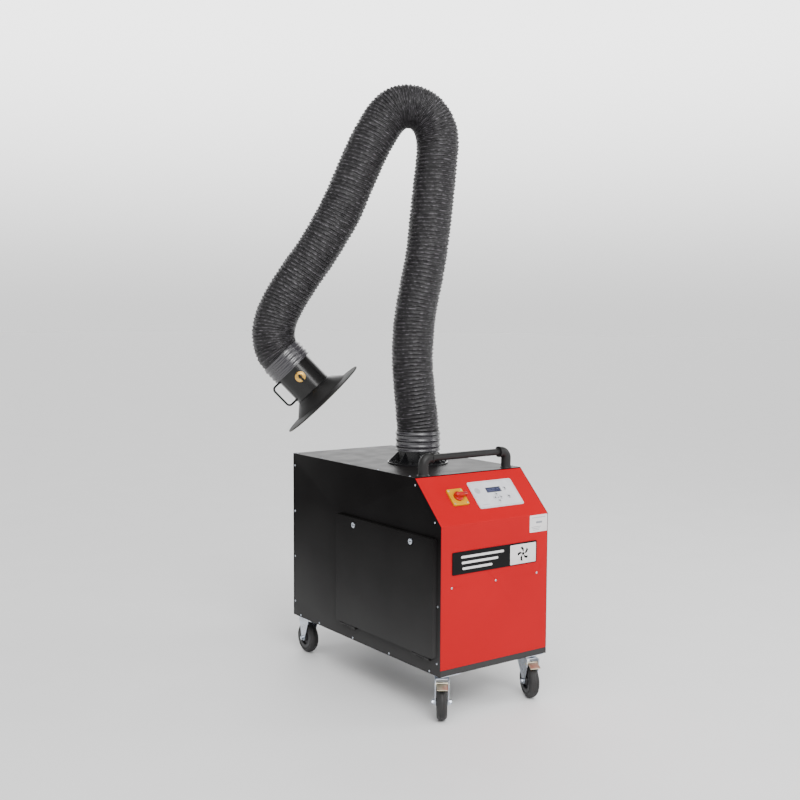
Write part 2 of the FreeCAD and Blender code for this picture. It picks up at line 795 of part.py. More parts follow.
# ---------------------------------------------------------------- arm
SHOULDER = (5, 200)
ELBOW_LOW = (-62, 1235)
ELBOW_HIGH = (168, 1245)
WRIST = (545, 505)
LEG = [
    (6, 200), (15, 284), (22, 360), (23, 438), (17, 546), (3, 635), (-19, 745), (-36, 864),
    (-49, 985), (-61, 1107), (-68, 1190), (-68, 1250), (-50, 1304), (-12, 1345), (42, 1362),
    (93, 1350), (132, 1313), (161, 1268), (192, 1212), (228, 1134), (264, 1050), (301, 967),
    (343, 890), (390, 813), (442, 738), (494, 660), (534, 588), (555, 524), (555, 468),
]
HOSE_CUTS = [
    ("hose_shoulder", (17, 300)),
    ("hose_lower", (-58, 1130)),
    ("hose_elbow_low", (-42, 1305)),
    ("hose_arch", (133, 1305)),
    ("hose_elbow_high", (213, 1165)),
    ("hose_upper", (530, 592)),
    ("hose_wrist", None),
]
HOSE_START = 56.5
HOSE_END = 172


def hood_point(back, side=0):
    """A point of the hood's axis, in the arm's plane."""
    tilt = math.radians(size("hood_tilt"))
    return (
        size("hood_across") + back * math.sin(tilt) + side * math.cos(tilt),
        size("hood_above") + back * math.cos(tilt) - side * math.sin(tilt),
    )


def hose_centreline():
    points = [(0, z) for z in (HOSE_START, 72, 88, 104, 120, 134)] + LEG
    points += [hood_point(back) for back in (242, 236, 229, 218, 206, 190, HOSE_END)]
    curve = Part.BSplineCurve()
    curve.interpolate([Vector(x, 0, z) for x, z in points])
    return curve


def hose_segments():
    """The hose, in one piece per length that keeps or changes its shape as the arm moves."""
    curve = hose_centreline()
    start = curve.FirstParameter
    for label, cut in HOSE_CUTS:
        end = curve.parameter(Vector(cut[0], 0, cut[1])) if cut else curve.LastParameter
        spine = Part.Wire(curve.toShape(start, end))
        tubes = []
        for radius in (size("hose_radius"), size("hose_bore")):
            ring = Part.Circle(curve.value(start), Vector(*curve.tangent(start)[0]), radius)
            tubes.append(spine.makePipeShell([Part.Wire(ring.toShape())], True, False))
        new_feature(label, tubes[0].cut(tubes[1]), ARM)
        start = end + 0.0004 * (curve.LastParameter - curve.FirstParameter)


def arm_flange():
    body = new_body("arm_flange", ARM)
    rim, bore = size("flange_radius"), size("collar_bore")
    collar, thick = size("collar_radius"), size("flange_thick")
    high = size("collar_height")
    revolve(body, [(bore, 0), (rim, 0), (rim, thick), (collar, thick), (collar, high), (bore, high)])
    sketch = new_sketch(body, "XY_Plane", Placement(Vector(0, 0, thick), Rotation()))
    for radius, angle in FLANGE_BOLTS:
        draw_circle(sketch, *bolt_centre(radius, angle), BOLT_HOLE)
    pocket(body, sketch, "dims.flange_thick + 1")
    sketch = new_sketch(body, "XZ_Plane")
    draw_loop(sketch, [
        (bore + 2, thick - 1), (rim - 4, thick - 1), (rim - 4, thick + 3), (collar + 1, high - 6), (bore + 2, high - 6),
    ])
    web = pad(body, sketch, 4, True)
    pattern = body.newObject("PartDesign::PolarPattern", "arm_flange_webs")
    pattern.Originals = [web]
    axis = [f for f in body.Origin.OriginFeatures if f.Role == "Z_Axis"][0]
    pattern.Axis = (axis, [""])
    pattern.Angle = 360
    pattern.Occurrences = 8
    body.Tip = pattern


def flange_bolts():
    shapes = []
    thick = size("flange_thick")
    for radius, angle in FLANGE_BOLTS:
        x, y = bolt_centre(radius, angle)
        corners = [bolt_centre(7.2, 60 * n) for n in range(7)]
        outline = Part.makePolygon([Vector(x + dx, y + dy, thick + 1.6) for dx, dy in corners])
        head = Part.Face(outline).extrude(Vector(0, 0, 5.3))
        washer = cylinder(8.4, 1.6, x, y, thick)
        shank = cylinder(4, thick + 8, x, y, -6)
        shapes.append(fused([head, washer, shank]))
    new_feature("flange_bolts", Part.makeCompound(shapes), ARM)


def ribbed_sleeve(bore, body_radius, rib_radius, low, high, ribs):
    """Profile of a moulded rubber sleeve with raised ribs."""
    points = [(bore, low), (rib_radius, low), (rib_radius, low + 4), (body_radius, low + 5)]
    for z in ribs:
        points += [(body_radius, z - 4), (rib_radius, z - 2), (rib_radius, z + 2), (body_radius, z + 4)]
    return points + [(body_radius, high), (bore, high)]


def base_cuff():
    body = new_body("base_cuff", ARM)
    revolve(
        body,
        ribbed_sleeve(
            size("hose_radius") + 0.1, size("cuff_radius"), size("cuff_rib_radius"),
            size("collar_height") + 0.5, 126, [70, 93, 116],
        ),
    )


def bar_between(start, end, half_height, half_thick, y=0.0):
    """A flat bar with round ends between two points of the arm's plane."""
    a, b = Vector(start[0], 0, start[1]), Vector(end[0], 0, end[1])
    along = (b - a).normalize()
    side = Vector(along.z, 0, -along.x) * half_height
    corners = [a - side, b - side, b + side, a + side, a - side]
    base = Vector(0, y - half_thick, 0)
    bar = Part.Face(Part.makePolygon([c + base for c in corners])).extrude(
        Vector(0, 2 * half_thick, 0)
    )
    ends = [
        Part.makeCylinder(half_height, 2 * half_thick, p + base, Y_AXIS) for p in (a, b)
    ]
    return fused([bar] + ends)


def along_line(start, end, distance):
    """The point at a distance from start on the way to end; negative counts from end."""
    length = math.hypot(end[0] - start[0], end[1] - start[1])
    part = distance / length if distance >= 0 else 1 + distance / length
    return (start[0] + part * (end[0] - start[0]), start[1] + part * (end[1] - start[1]))


FORK_GAP = 7.5
FORK_PLATE = 5.5
TONGUE = 7.2


def tongue(start, towards):
    return bar_between(start, along_line(start, towards, 50), size("link_half_height"), TONGUE)


def fork(end, back):
    """Two cheeks with the pivot pin through them."""
    start = along_line(end, back, 62)
    offset = FORK_GAP + FORK_PLATE / 2
    cheeks = [
        bar_between(start, end, size("link_half_height"), FORK_PLATE / 2, side * offset)
        for side in (-1, 1)
    ]
    pin = Part.makeCylinder(
        size("pivot_radius") - 0.05, 2 * (FORK_GAP + FORK_PLATE),
        Vector(end[0], -FORK_GAP - FORK_PLATE, end[1]), Y_AXIS,
    )
    return cheeks + [pin]


def pivot_hole(centre):
    return Part.makeCylinder(
        size("pivot_radius"), 2 * TONGUE + 4, Vector(centre[0], -TONGUE - 2, centre[1]), Y_AXIS
    )


def arm_link(label, points):
    """An inner arm link: tongue at the first pivot, fork at the last one."""
    start, end = points[0], points[-1]
    route = [along_line(start, points[1], 32)] + points[1:-1] + [along_line(points[-2], end, -40)]
    half, thick = size("link_half_height"), size("link_half_thick")
    shapes = [bar_between(a, b, half, thick) for a, b in zip(route, route[1:])]
    shapes.append(tongue(start, points[1]))
    shapes += fork(end, points[-2])
    new_feature(label, fused(shapes).cut(pivot_hole(start)), ARM)


def swivel_collar():
    """The turning spigot in the flange collar, with the yoke that carries the arm."""
    bore = size("collar_bore")
    high = size("collar_height")
    profile = [
        (bore - 4, 1), (bore - 0.1, 1), (bore - 0.1, high + SEAM), (82, high + SEAM), (82, 56),
        (75.9, 56), (75.9, 100), (bore - 4, 100),
    ]
    wire = Part.makePolygon([Vector(r, 0, z) for r, z in profile + profile[:1]])
    spigot = Part.Face(wire).revolve(Vector(), Z_AXIS, 360)
    crossbar = block(-12, 22, -71, 71, 62, 74)
    offset = FORK_GAP + FORK_PLATE / 2
    cheeks = [
        bar_between((5, 72), SHOULDER, 13, FORK_PLATE / 2, side * offset) for side in (-1, 1)
    ]
    pin = fork(SHOULDER, (5, 72))[-1]
    new_feature("swivel_collar", fused([spigot, crossbar, pin] + cheeks), ARM)


# ---------------------------------------------------------------- hood
def hood_tube():
    """Spun flange, cone and tube, with the inner yoke for the wrist pivot."""
    tube, bore, length = size("hood_tube_radius"), size("hood_tube_bore"), size("hood_length")
    rim, cone = size("hood_rim_radius"), size("hood_cone_radius")
    profile = [
        (rim, 0), (rim, 2.4), (cone + 0.8, 10.6), (tube, 56.4), (tube, length), (bore, length),
        (bore, 55.3), (cone - 0.5, 8.6), (rim - 1, 0),
    ]
    wire = Part.makePolygon([Vector(r, 0, z) for r, z in profile + profile[:1]])
    shell = Part.Face(wire).revolve(Vector(), Z_AXIS, 360)
    dx, dz = WRIST[0] - size("hood_across"), WRIST[1] - size("hood_above")
    tilt = math.radians(size("hood_tilt"))
    pivot = (dx * math.cos(tilt) - dz * math.sin(tilt), dx * math.sin(tilt) + dz * math.cos(tilt))
    crossbar = block(-12, 12, -74, 74, 202, 210)
    lug = bar_between((0, 213), pivot, size("link_half_height"), TONGUE)
    holes = [
        Part.makeCylinder(4.1, 12, Vector(0, side, size("damper_back")), Y_AXIS)
        for side in (-80, 68)
    ]
    shape = fused([shell, crossbar, lug]).cut(holes + [pivot_hole(pivot)])
    new_feature("hood_tube", shape, HOOD)


def hood_cuff():
    body = new_body("hood_cuff", HOOD)
    revolve(
        body,
        ribbed_sleeve(
            size("hose_radius") + 0.1, size("cuff_radius"), size("cuff_rib_radius"),
            168, 236, [186, 204, 222],
        ),
    )


def hood_handle():
    radius = size("hood_handle_wire")
    tube = size("hood_tube_radius")
    rod = bent_rod([(tube, 0, 70), (112, 0, 70), (112, 0, 162), (tube, 0, 162)], radius, 14)
    new_feature("hood_handle", rod.cut(cylinder(tube + 0.02, 200)), HOOD)


def damper():
    """Butterfly plate on a shaft, with a round knob and lever outside the tube."""
    back = size("damper_back")
    plate = cylinder(size("damper_radius"), 2, -1, 0, back, X_AXIS)
    shaft = cylinder(4, 164, 0, -78, back, Y_AXIS)
    knob = cylinder(20, 4, 0, 77, back, Y_AXIS)
    lever = block(-4, 4, 80.5, 90, back - 17, back + 17)
    new_feature("damper", fused([plate, shaft, knob, lever]), HOOD)


# ---------------------------------------------------------------- castors
def castor_frame(side, from_front, heading=0.0):
    return at(
        CABINET, side * size("castor_across"), FRONT + from_front, 0, Rotation(Z_AXIS, heading)
    )


FRONT_CASTORS = [
    ("left", castor_frame(-1, size("front_castor_from_front"), size("front_left_heading"))),
    ("right", castor_frame(1, size("front_castor_from_front"), size("front_right_heading"))),
]
REAR_CASTORS = [
    ("left", castor_frame(-1, size("rear_castor_from_front"), 90)),
    ("right", castor_frame(1, size("rear_castor_from_front"), 90)),
]
LEG_IN, LEG_OUT = 22, 25
PEDAL_PIVOT = (60, 133)


def castor_plates():
    """Four mounting plates under the tray; the front two carry the swivel races."""
    shapes = []
    for side in (-1, 1):
        for from_front in (size("front_castor_from_front"), size("rear_castor_from_front")):
            x = side * (size("castor_across") - 4)
            y = min(FRONT + from_front, REAR - 52)
            shapes.append(block(x - 42, x + 42, y - 52, y + 52, FLOOR - 4, FLOOR))
        x, y = side * size("castor_across"), FRONT + size("front_castor_from_front")
        race = cylinder(30, 5.7, x, y, FLOOR - 9.7)
        bore = cylinder(6.05, 12, x, y, FLOOR - 10)
        shapes[-2] = fused([shapes[-2], race]).cut(bore)
    new_feature("castor_plates", Part.makeCompound(shapes), CABINET)


def axle(x):
    radius = size("wheel_radius")
    shaft = cylinder(size("axle_radius") - 0.05, 2 * LEG_OUT + 2, x, -LEG_OUT - 1, radius, Y_AXIS)
    heads = [cylinder(9, 5, x, y, radius, Y_AXIS) for y in (-LEG_OUT - 5, LEG_OUT)]
    return [shaft] + heads


def front_fork(side, frame):
    """Swivel fork with its axle and kingpin."""
    trail, radius = size("castor_trail"), size("wheel_radius")
    outline = [
        (-24, 150), (70, 150), (70, 124), (trail + 13, radius + 4), (trail + 8, radius - 11),
        (trail - 8, radius - 11), (trail - 13, radius + 4), (-24, 128),
    ]
    shapes = [polygon_plate(outline, y, y + 3) for y in (-LEG_OUT, LEG_IN)]
    shapes.append(block(-24, 52, -LEG_OUT, LEG_OUT, 146, 150))
    shapes.append(cylinder(6, 9, 0, 0, 149))
    shapes += axle(trail)
    bore = cylinder(4.1, 60, PEDAL_PIVOT[0], -30, PEDAL_PIVOT[1], Y_AXIS)
    new_feature("front_fork_" + side, fused(shapes).cut(bore), frame)


def brake_pedal(side, frame):
    x, z = PEDAL_PIVOT
    shapes = [
        cylinder(4, 2 * LEG_OUT + 2, x, -LEG_OUT - 1, z, Y_AXIS),
        cylinder(7, 40, x, -20, z, Y_AXIS),
        polygon_plate([(x, z + 6.5), (x, z + 2), (x + 34, z - 12), (x + 36, z - 8)], -19, 19),
    ]
    new_feature("brake_pedal_" + side, fused(shapes), frame)


def rear_forks():
    shapes = []
    radius = size("wheel_radius")
    outline = [
        (-48, FLOOR - 4), (34, FLOOR - 4), (13, radius + 4), (8, radius - 11), (-8, radius - 11), (-13, radius + 4),
    ]
    for _, frame in REAR_CASTORS:
        legs = [polygon_plate(outline, y, y + 3) for y in (-LEG_OUT, LEG_IN)]
        bridge = block(-48, 34, -LEG_OUT, LEG_OUT, FLOOR - 7, FLOOR - 4)
        shape = fused(legs + [bridge] + axle(0))
        shape.Placement = CABINET.inverse() * frame
        shapes.append(shape)
    new_feature("rear_forks", Part.makeCompound(shapes), CABINET)


def wheel(name, frame, trail):
    """A rubber tyre on a moulded hub, turning on the fork's axle."""
    radius, half = size("wheel_radius"), size("tread_width") / 2
    hub = size("hub_radius")
    place = frame * Placement(Vector(trail, 0, radius), Rotation(X_AXIS, 90))
    tyre = new_body("tyre_" + name, place)
    revolve(
        tyre,
        [
            (hub, -half + 3), (hub + 8, -half), (radius - 7, -half + 1.6), (radius - 3, -half + 5),
            (radius - 1, -half + 9.5), (radius, -5), (radius, 5), (radius - 1, half - 9.5),
            (radius - 3, half - 5), (radius - 7, half - 1.6), (hub + 8, half), (hub, half - 3),
        ],
    )
    core = new_body("hub_" + name, place)
    bore = size("axle_radius") + 0.05
    revolve(
        core,
        [
            (bore, -20), (14, -20), (16, -9), (hub - 8, -9), (hub - 6, -15), (hub, -15), (hub, 15),
            (hub - 6, 15), (hub - 8, 9), (16, 9), (14, 20), (bore, 20),
        ],
    )


# ---------------------------------------------------------------- build
base_tray()
side_panel("left_side_panel", -HALF_WIDTH, True)
side_panel("right_side_panel", HALF_WIDTH - SHEET, False)
rear_panel()
top_cover()
front_panel()
panel_screws()
service_door()
door_gasket()
door_hinges()
for latch_label, latch_along in LATCHES:
    latch(latch_label, latch_along)
handle_bar()
handle_elbows()
isolator_plate()
isolator_knob()
keypad_frame()
keypad_keys()
display_window()
nameplate()
inner_frame()
filter_block("main_filter", 0, 262)
filter_block("pre_filter", 264, 310)
filter_block("spark_arrestor", 312, 337)
fan_scroll()
impeller()
fan_motor()
cable_gland()
arm_flange()
flange_bolts()
swivel_collar()
base_cuff()
hose_segments()
arm_link("lower_link", [SHOULDER, ELBOW_LOW])
arm_link("elbow_link", [ELBOW_LOW, (-30, 1318), (34, 1358), (104, 1332), ELBOW_HIGH])
arm_link("upper_link", [ELBOW_HIGH, WRIST])
hood_tube()
hood_cuff()
hood_handle()
damper()
castor_plates()
for side_name, castor in FRONT_CASTORS:
    front_fork(side_name, castor)
    brake_pedal(side_name, castor)
    wheel("front_" + side_name, castor, size("castor_trail"))
rear_forks()
for side_name, castor in REAR_CASTORS:
    wheel("rear_" + side_name, castor, 0)

# ---------------------------------------------------------------- check and export
doc.recompute()
for thing in doc.Objects:
    if "Invalid" in thing.State or "Error" in thing.State:
        raise RuntimeError("bad state: " + thing.Label)
total = FreeCAD.BoundBox()
for piece in PIECES:
    if piece.Shape.isNull() or not piece.Shape.isValid():
        raise RuntimeError("bad shape: " + piece.Label)
    total.add(piece.Shape.BoundBox)
    piece.Shape.exportStep("parts/" + piece.Label + ".step")
print("pieces", len(PIECES))
print("box", total)
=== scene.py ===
"""Looks of a mobile fume extractor: filter cabinet on castors with a hose-covered arm.

Metres, in the CAD's frame. The frames below repeat the ones that the CAD is drawn in.
"""

import math

import bmesh
import bpy
import numpy as np
from mathutils import Matrix, Vector


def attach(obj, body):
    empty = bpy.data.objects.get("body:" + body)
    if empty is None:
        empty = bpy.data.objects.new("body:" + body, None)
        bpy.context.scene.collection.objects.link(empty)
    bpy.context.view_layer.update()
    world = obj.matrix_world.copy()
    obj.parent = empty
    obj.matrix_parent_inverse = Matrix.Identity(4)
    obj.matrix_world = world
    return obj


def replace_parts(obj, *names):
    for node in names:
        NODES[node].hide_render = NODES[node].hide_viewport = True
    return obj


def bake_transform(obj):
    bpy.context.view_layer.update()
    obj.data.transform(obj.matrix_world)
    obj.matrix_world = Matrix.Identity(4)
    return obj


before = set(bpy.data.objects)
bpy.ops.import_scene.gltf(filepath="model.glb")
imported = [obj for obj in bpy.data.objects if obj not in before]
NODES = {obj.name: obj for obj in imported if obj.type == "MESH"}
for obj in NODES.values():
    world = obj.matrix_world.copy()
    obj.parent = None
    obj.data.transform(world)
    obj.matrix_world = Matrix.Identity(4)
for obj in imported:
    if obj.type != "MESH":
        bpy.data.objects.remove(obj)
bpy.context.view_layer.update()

# ---------------------------------------------------------------- frames of the design
MM = 0.001
SHIFT = Vector((0.1565, 0.0066, 0.0))
HALF_WIDTH, HALF_LENGTH = 0.25, 0.5
BOTTOM, TOP = 0.16, 0.84
SLOPE_ANGLE = math.atan2(153, 154)
HOOD_TILT = math.radians(43.95)
WHEEL_RADIUS = 0.0625
CABINET = Matrix.Translation(SHIFT)
SLOPE = CABINET @ Matrix.Translation((-HALF_WIDTH, -0.346, TOP)) @ Matrix.Rotation(SLOPE_ANGLE, 4, "X")
ARM = CABINET @ Matrix.Translation((0, -0.03, TOP)) @ Matrix.Rotation(math.radians(150), 4, "Z")
HOOD = ARM @ Matrix.Translation((0.367, 0, 0.248)) @ Matrix.Rotation(HOOD_TILT, 4, "Y")
FACE = CABINET @ Matrix.Translation((0, -HALF_LENGTH, 0)) @ Matrix.Rotation(math.radians(90), 4, "X")


def castor_frame(side, from_front, heading):
    place = Matrix.Translation((side * 0.2, from_front - HALF_LENGTH, 0))
    return CABINET @ place @ Matrix.Rotation(math.radians(heading), 4, "Z")


# ---------------------------------------------------------------- materials
RANGE_SOCKETS = ("From Min", "From Max", "To Min", "To Max")


class Shader:
    """Builds one procedural material around a Principled shader."""

    def __init__(self, name, **sockets):
        self.material = bpy.data.materials.new(name)
        self.material.use_nodes = True
        self.tree = self.material.node_tree
        self.shader = self.tree.nodes["Principled BSDF"]
        for socket, value in sockets.items():
            self.shader.inputs[socket.replace("_", " ")].default_value = value
        self.coords = self.tree.nodes.new("ShaderNodeTexCoord").outputs["Object"]
        self.normal = None

    def node(self, kind, **settings):
        made = self.tree.nodes.new(kind)
        for name, value in settings.items():
            if name in made.inputs:
                made.inputs[name].default_value = value
            else:
                setattr(made, name, value)
        return made

    def link(self, output, target):
        self.tree.links.new(output, target)

    def noise(self, scale, detail=3.0, rough=0.5, stretch=None):
        texture = self.node("ShaderNodeTexNoise", Scale=scale, Detail=detail, Roughness=rough)
        source = self.coords
        if stretch:
            mapping = self.node("ShaderNodeMapping")
            mapping.inputs["Scale"].default_value = stretch
            self.link(source, mapping.inputs["Vector"])
            source = mapping.outputs["Vector"]
        self.link(source, texture.inputs["Vector"])
        return texture.outputs["Fac"]

    def spread(self, value, low, high, out_low, out_high):
        ranged = self.node("ShaderNodeMapRange")
        for socket, number in zip(RANGE_SOCKETS, (low, high, out_low, out_high)):
            ranged.inputs[socket].default_value = number
        self.link(value, ranged.inputs["Value"])
        return ranged.outputs["Result"]

    def colours(self, value, *stops):
        ramp = self.node("ShaderNodeValToRGB")
        ramp.color_ramp.elements[0].position = stops[0][0]
        ramp.color_ramp.elements[0].color = (*stops[0][1], 1)
        ramp.color_ramp.elements[1].position = stops[-1][0]
        ramp.color_ramp.elements[1].color = (*stops[-1][1], 1)
        for position, colour in stops[1:-1]:
            ramp.color_ramp.elements.new(position).color = (*colour, 1)
        self.link(value, ramp.inputs["Fac"])
        self.link(ramp.outputs["Color"], self.shader.inputs["Base Color"])

    def roughness(self, value, low, high):
        self.link(self.spread(value, 0.3, 0.7, low, high), self.shader.inputs["Roughness"])

    def bump(self, value, distance, strength=1.0):
        bump = self.node("ShaderNodeBump", Strength=strength, Distance=distance)
        self.link(value, bump.inputs["Height"])
        if self.normal is not None:
            self.link(self.normal, bump.inputs["Normal"])
        self.normal = bump.outputs["Normal"]
        self.link(self.normal, self.shader.inputs["Normal"])


def shade(colour, factor):
    return tuple(min(1.0, c * factor) for c in colour)


def powder_coat(
    name, colour, rough, grain=900.0, depth=0.00006, coat=0.0, variation=0.10, gloss=0.3, painted_floor_reflection=0.0
):
    """Baked paint on sheet steel: fine orange peel, a slow unevenness and a painted reflection of the floor
    that lightens it towards the bottom.
    """
    made = Shader(name, Coat_Weight=coat, Coat_Roughness=0.12, Specular_IOR_Level=gloss)
    slow = made.noise(3.5, 4)
    if painted_floor_reflection:
        # painted reflection of the bright floor: the colour gets lighter from 0.66 m down to 0.20 m above
        # the floor
        parts = made.node("ShaderNodeSeparateXYZ")
        made.link(made.coords, parts.inputs["Vector"])
        low = made.spread(parts.outputs["Z"], 0.66, 0.20, 0.15, 0.85)
        noise_and_floor_reflection = made.node("ShaderNodeMath", operation="MULTIPLY_ADD")
        made.link(slow, noise_and_floor_reflection.inputs[0])
        noise_and_floor_reflection.inputs[1].default_value = 0.30
        made.link(low, noise_and_floor_reflection.inputs[2])
        made.colours(
            noise_and_floor_reflection.outputs["Value"], (0.25, colour), (0.6, tuple(c + 0.35 * painted_floor_reflection for c in colour)),
            (1.0, tuple(c + painted_floor_reflection for c in colour)),
        )
    else:
        made.colours(slow, (0.3, shade(colour, 1 - variation)), (0.7, shade(colour, 1 + variation)))
    made.roughness(made.noise(14, 5), rough - 0.04, rough + 0.05)
    made.bump(made.noise(grain, 2), depth, 0.6)
    made.bump(made.noise(2.2, 1), 0.0008, 0.25)
    return made.material


def hood_enamel(name, colour):
    """Black enamel that is glossy on the tube and duller on the cone and flange."""
    made = Shader(name, Specular_IOR_Level=0.36)
    made.colours(made.noise(9, 4), (0.3, shade(colour, 0.85)), (0.7, shade(colour, 1.2)))
    along = made.node("ShaderNodeVectorMath", operation="DOT_PRODUCT")
    made.link(made.coords, along.inputs[0])
    axis = HOOD.col[2].to_3d()
    along.inputs[1].default_value = axis
    mouth = axis.dot(HOOD.translation)
    dull = made.spread(along.outputs["Value"], mouth + 0.004, mouth + 0.055, 0.58, 0.17)
    marks = made.node("ShaderNodeMath", operation="MULTIPLY_ADD")
    made.link(made.noise(30, 5), marks.inputs[0])
    marks.inputs[1].default_value = 0.10
    made.link(dull, marks.inputs[2])
    made.link(marks.outputs["Value"], made.shader.inputs["Roughness"])
    made.bump(made.noise(350, 2), 0.00005, 0.6)
    made.bump(made.noise(2.2, 1), 0.0008, 0.25)
    return made.material


def plastic(name, colour, rough, grain=1400.0, depth=0.00004, gloss=0.5):
    """Moulded plastic: spark-eroded grain and faint handling marks."""
    made = Shader(name, Specular_IOR_Level=gloss)
    made.colours(made.noise(25, 4), (0.35, shade(colour, 0.93)), (0.65, shade(colour, 1.05)))
    made.roughness(made.noise(60, 4), rough - 0.05, rough + 0.06)
    made.bump(made.noise(grain, 2), depth, 0.6)
    return made.material


def metal(name, colour, rough, tint=None):
    """Plated or brushed metal with drawn grain and cloudy plating."""
    made = Shader(name, Metallic=1.0)
    clouds = made.noise(45, 5, 0.6)
    made.colours(clouds, (0.3, shade(colour, 0.78)), (0.5, colour), (0.7, tint or shade(colour, 1.12)))
    made.roughness(made.noise(90, 5), rough - 0.07, rough + 0.10)
    made.bump(made.noise(12, 3, 0.6, (40, 40, 900)), 0.00003, 0.5)
    return made.material


def rubber(name, colour, rough, grain=600.0, bloom=0.3, gloss=0.5, wear=0.09):
    """Black rubber with bloom and a slightly uneven skin."""
    made = Shader(name, Specular_IOR_Level=gloss)
    skin = made.noise(18, 6, 0.65)
    made.colours(skin, (0.3, shade(colour, 1 - 0.7 * bloom)), (0.72, shade(colour, 1 + bloom)))
    made.roughness(made.noise(40, 5), rough - wear, rough + wear)
    made.bump(made.noise(grain, 3), 0.00008, 0.7)
    return made.material


def hose_cloth(name):
    """Coated glass cloth over a wire helix: lighter broken dashes on each turn of wire, partly rubbed wear
    and partly painted highlight.

    The mesh carries the turns of wire in U and the way round the hose in V.
    """
    made = Shader(name, Specular_IOR_Level=0.45)
    coords = made.node("ShaderNodeTexCoord").outputs["UV"]
    split = made.node("ShaderNodeSeparateXYZ")
    made.link(coords, split.inputs["Vector"])

    def maths(operation, first, second=None):
        step = made.node("ShaderNodeMath", operation=operation)
        for socket, value in zip(step.inputs, (first, second)):
            if value is not None:
                if isinstance(value, (int, float)):
                    socket.default_value = value
                else:
                    made.link(value, socket)
        return step.outputs["Value"]

    def streaks(per_turn, around, detail):
        mapping = made.node("ShaderNodeMapping")
        mapping.inputs["Scale"].default_value = (per_turn, around, 1)
        made.link(coords, mapping.inputs["Vector"])
        texture = made.node("ShaderNodeTexNoise", Scale=1.0, Detail=detail, Roughness=0.55)
        made.link(mapping.outputs["Vector"], texture.inputs["Vector"])
        return texture.outputs["Fac"]

    wave = maths("COSINE", maths("MULTIPLY", split.outputs["X"], 2 * math.pi))
    crest = made.spread(wave, 0.10, 0.95, 0, 1)
    dash = made.spread(streaks(0.93, 30, 3), 0.44, 0.66, 0, 1)
    # the crests of the wire turns get lighter dashes in the colour: partly rubbed wear, partly painted
    # highlight
    rubbed_wear_and_painted_highlight = maths("MULTIPLY", crest, dash)
    cloth = streaks(2.6, 90, 5)
    tone = maths("ADD", maths("MULTIPLY", rubbed_wear_and_painted_highlight, 0.62), maths("MULTIPLY", cloth, 0.38))
    made.colours(
        tone, (0.12, (0.0042, 0.0037, 0.0043)), (0.24, (0.0117, 0.0105, 0.0122)),
        (0.42, (0.034, 0.031, 0.035)), (0.80, (0.106, 0.098, 0.110)),
    )
    made.roughness(cloth, 0.34, 0.58)
    made.bump(cloth, 0.0022, 0.55)
    made.bump(streaks(1.3, 30, 3), 0.0040, 0.45)
    return made.material


def glow(name, colour, strength):
    """The backlit face of the display."""
    made = Shader(name, Coat_Weight=0.5, Coat_Roughness=0.05, Emission_Strength=strength)
    made.shader.inputs["Emission Color"].default_value = (*colour, 1)
    made.colours(made.noise(300, 2), (0.4, shade(colour, 0.85)), (0.6, colour))
    made.shader.inputs["Roughness"].default_value = 0.15
    return made.material


def paper(name, colour):
    """Pleated filter paper: matt and fibrous."""
    made = Shader(name)
    made.colours(made.noise(35, 6, 0.6), (0.3, shade(colour, 0.88)), (0.7, shade(colour, 1.06)))
    made.roughness(made.noise(200, 3), 0.8, 0.95)
    made.bump(made.noise(700, 4), 0.0002, 0.6)
    return made.material


# the black panels carry a painted floor reflection that makes them lighter towards the bottom
BLACK = powder_coat(
    "black_powder_coat", (0.0045, 0.0039, 0.0040), 0.36, 700, 0.00005, gloss=0.02, painted_floor_reflection=0.046
)
TOP_BLACK = powder_coat("top_powder_coat", (0.0095, 0.0083, 0.0083), 0.38, 700, 0.00005, gloss=0.06)
RED = powder_coat("red_powder_coat", (0.46, 0.0008, 0.0065), 0.40, 900, 0.00005, variation=0.04, gloss=0.12)
GLOSS_BLACK = powder_coat(
    "gloss_black_enamel", (0.005, 0.0048, 0.005), 0.24, 350, 0.00005, coat=0.08, gloss=0.30
)
HOOD_BLACK = hood_enamel("hood_enamel", (0.007, 0.0067, 0.0067))
FLANGE_BLACK = powder_coat("flange_enamel", (0.008, 0.008, 0.009), 0.26, 500, 0.00006, coat=0.25)
ZINC = metal("bright_zinc", (0.60, 0.64, 0.70), 0.30, tint=(0.68, 0.76, 0.88))
YELLOW_ZINC = metal("yellow_zinc", (0.70, 0.64, 0.48), 0.34, tint=(0.78, 0.72, 0.56))
BRASS = metal("brass", (0.80, 0.46, 0.10), 0.26, tint=(0.90, 0.58, 0.18))
BLACK_STEEL = metal("blackened_steel", (0.045, 0.045, 0.047), 0.34)
STEEL = metal("plain_steel", (0.42, 0.42, 0.43), 0.38)
ALUMINIUM = metal("aluminium", (0.70, 0.71, 0.73), 0.33)
TYRE = rubber("tyre_rubber", (0.019, 0.0185, 0.0185), 0.60, 350)
CUFF = rubber("cuff_rubber", (0.032, 0.030, 0.035), 0.24, 500, bloom=0.1, gloss=1.0, wear=0.02)
HOSE = hose_cloth("hose_cloth")
GRIP = plastic("grip_plastic", (0.014, 0.0135, 0.0135), 0.44, 900, 0.00008, gloss=0.3)
WHITE = plastic("keypad_film", (0.66, 0.67, 0.70), 0.36)
INK = plastic("printed_ink", (0.03, 0.032, 0.045), 0.4)
GREY_INK = plastic("grey_ink", (0.25, 0.26, 0.29), 0.45)
PALE_INK = plastic("pale_ink", (0.45, 0.45, 0.48), 0.45)
YELLOW = plastic("isolator_yellow", (0.58, 0.28, 0.0), 0.40, gloss=0.2)
SIGNAL_RED = plastic("isolator_red", (0.46, 0.004, 0.002), 0.28)
PLATE_BLACK = plastic("plate_black", (0.004, 0.004, 0.0045), 0.34, gloss=0.12)
LABEL = plastic("label_white", (0.74, 0.72, 0.72), 0.34)
HUB = plastic("hub_plastic", (0.030, 0.030, 0.032), 0.45)
DISPLAY = glow("display_face", (0.040, 0.045, 0.095), 0.05)
MEDIA = paper("filter_media", (0.82, 0.82, 0.79))


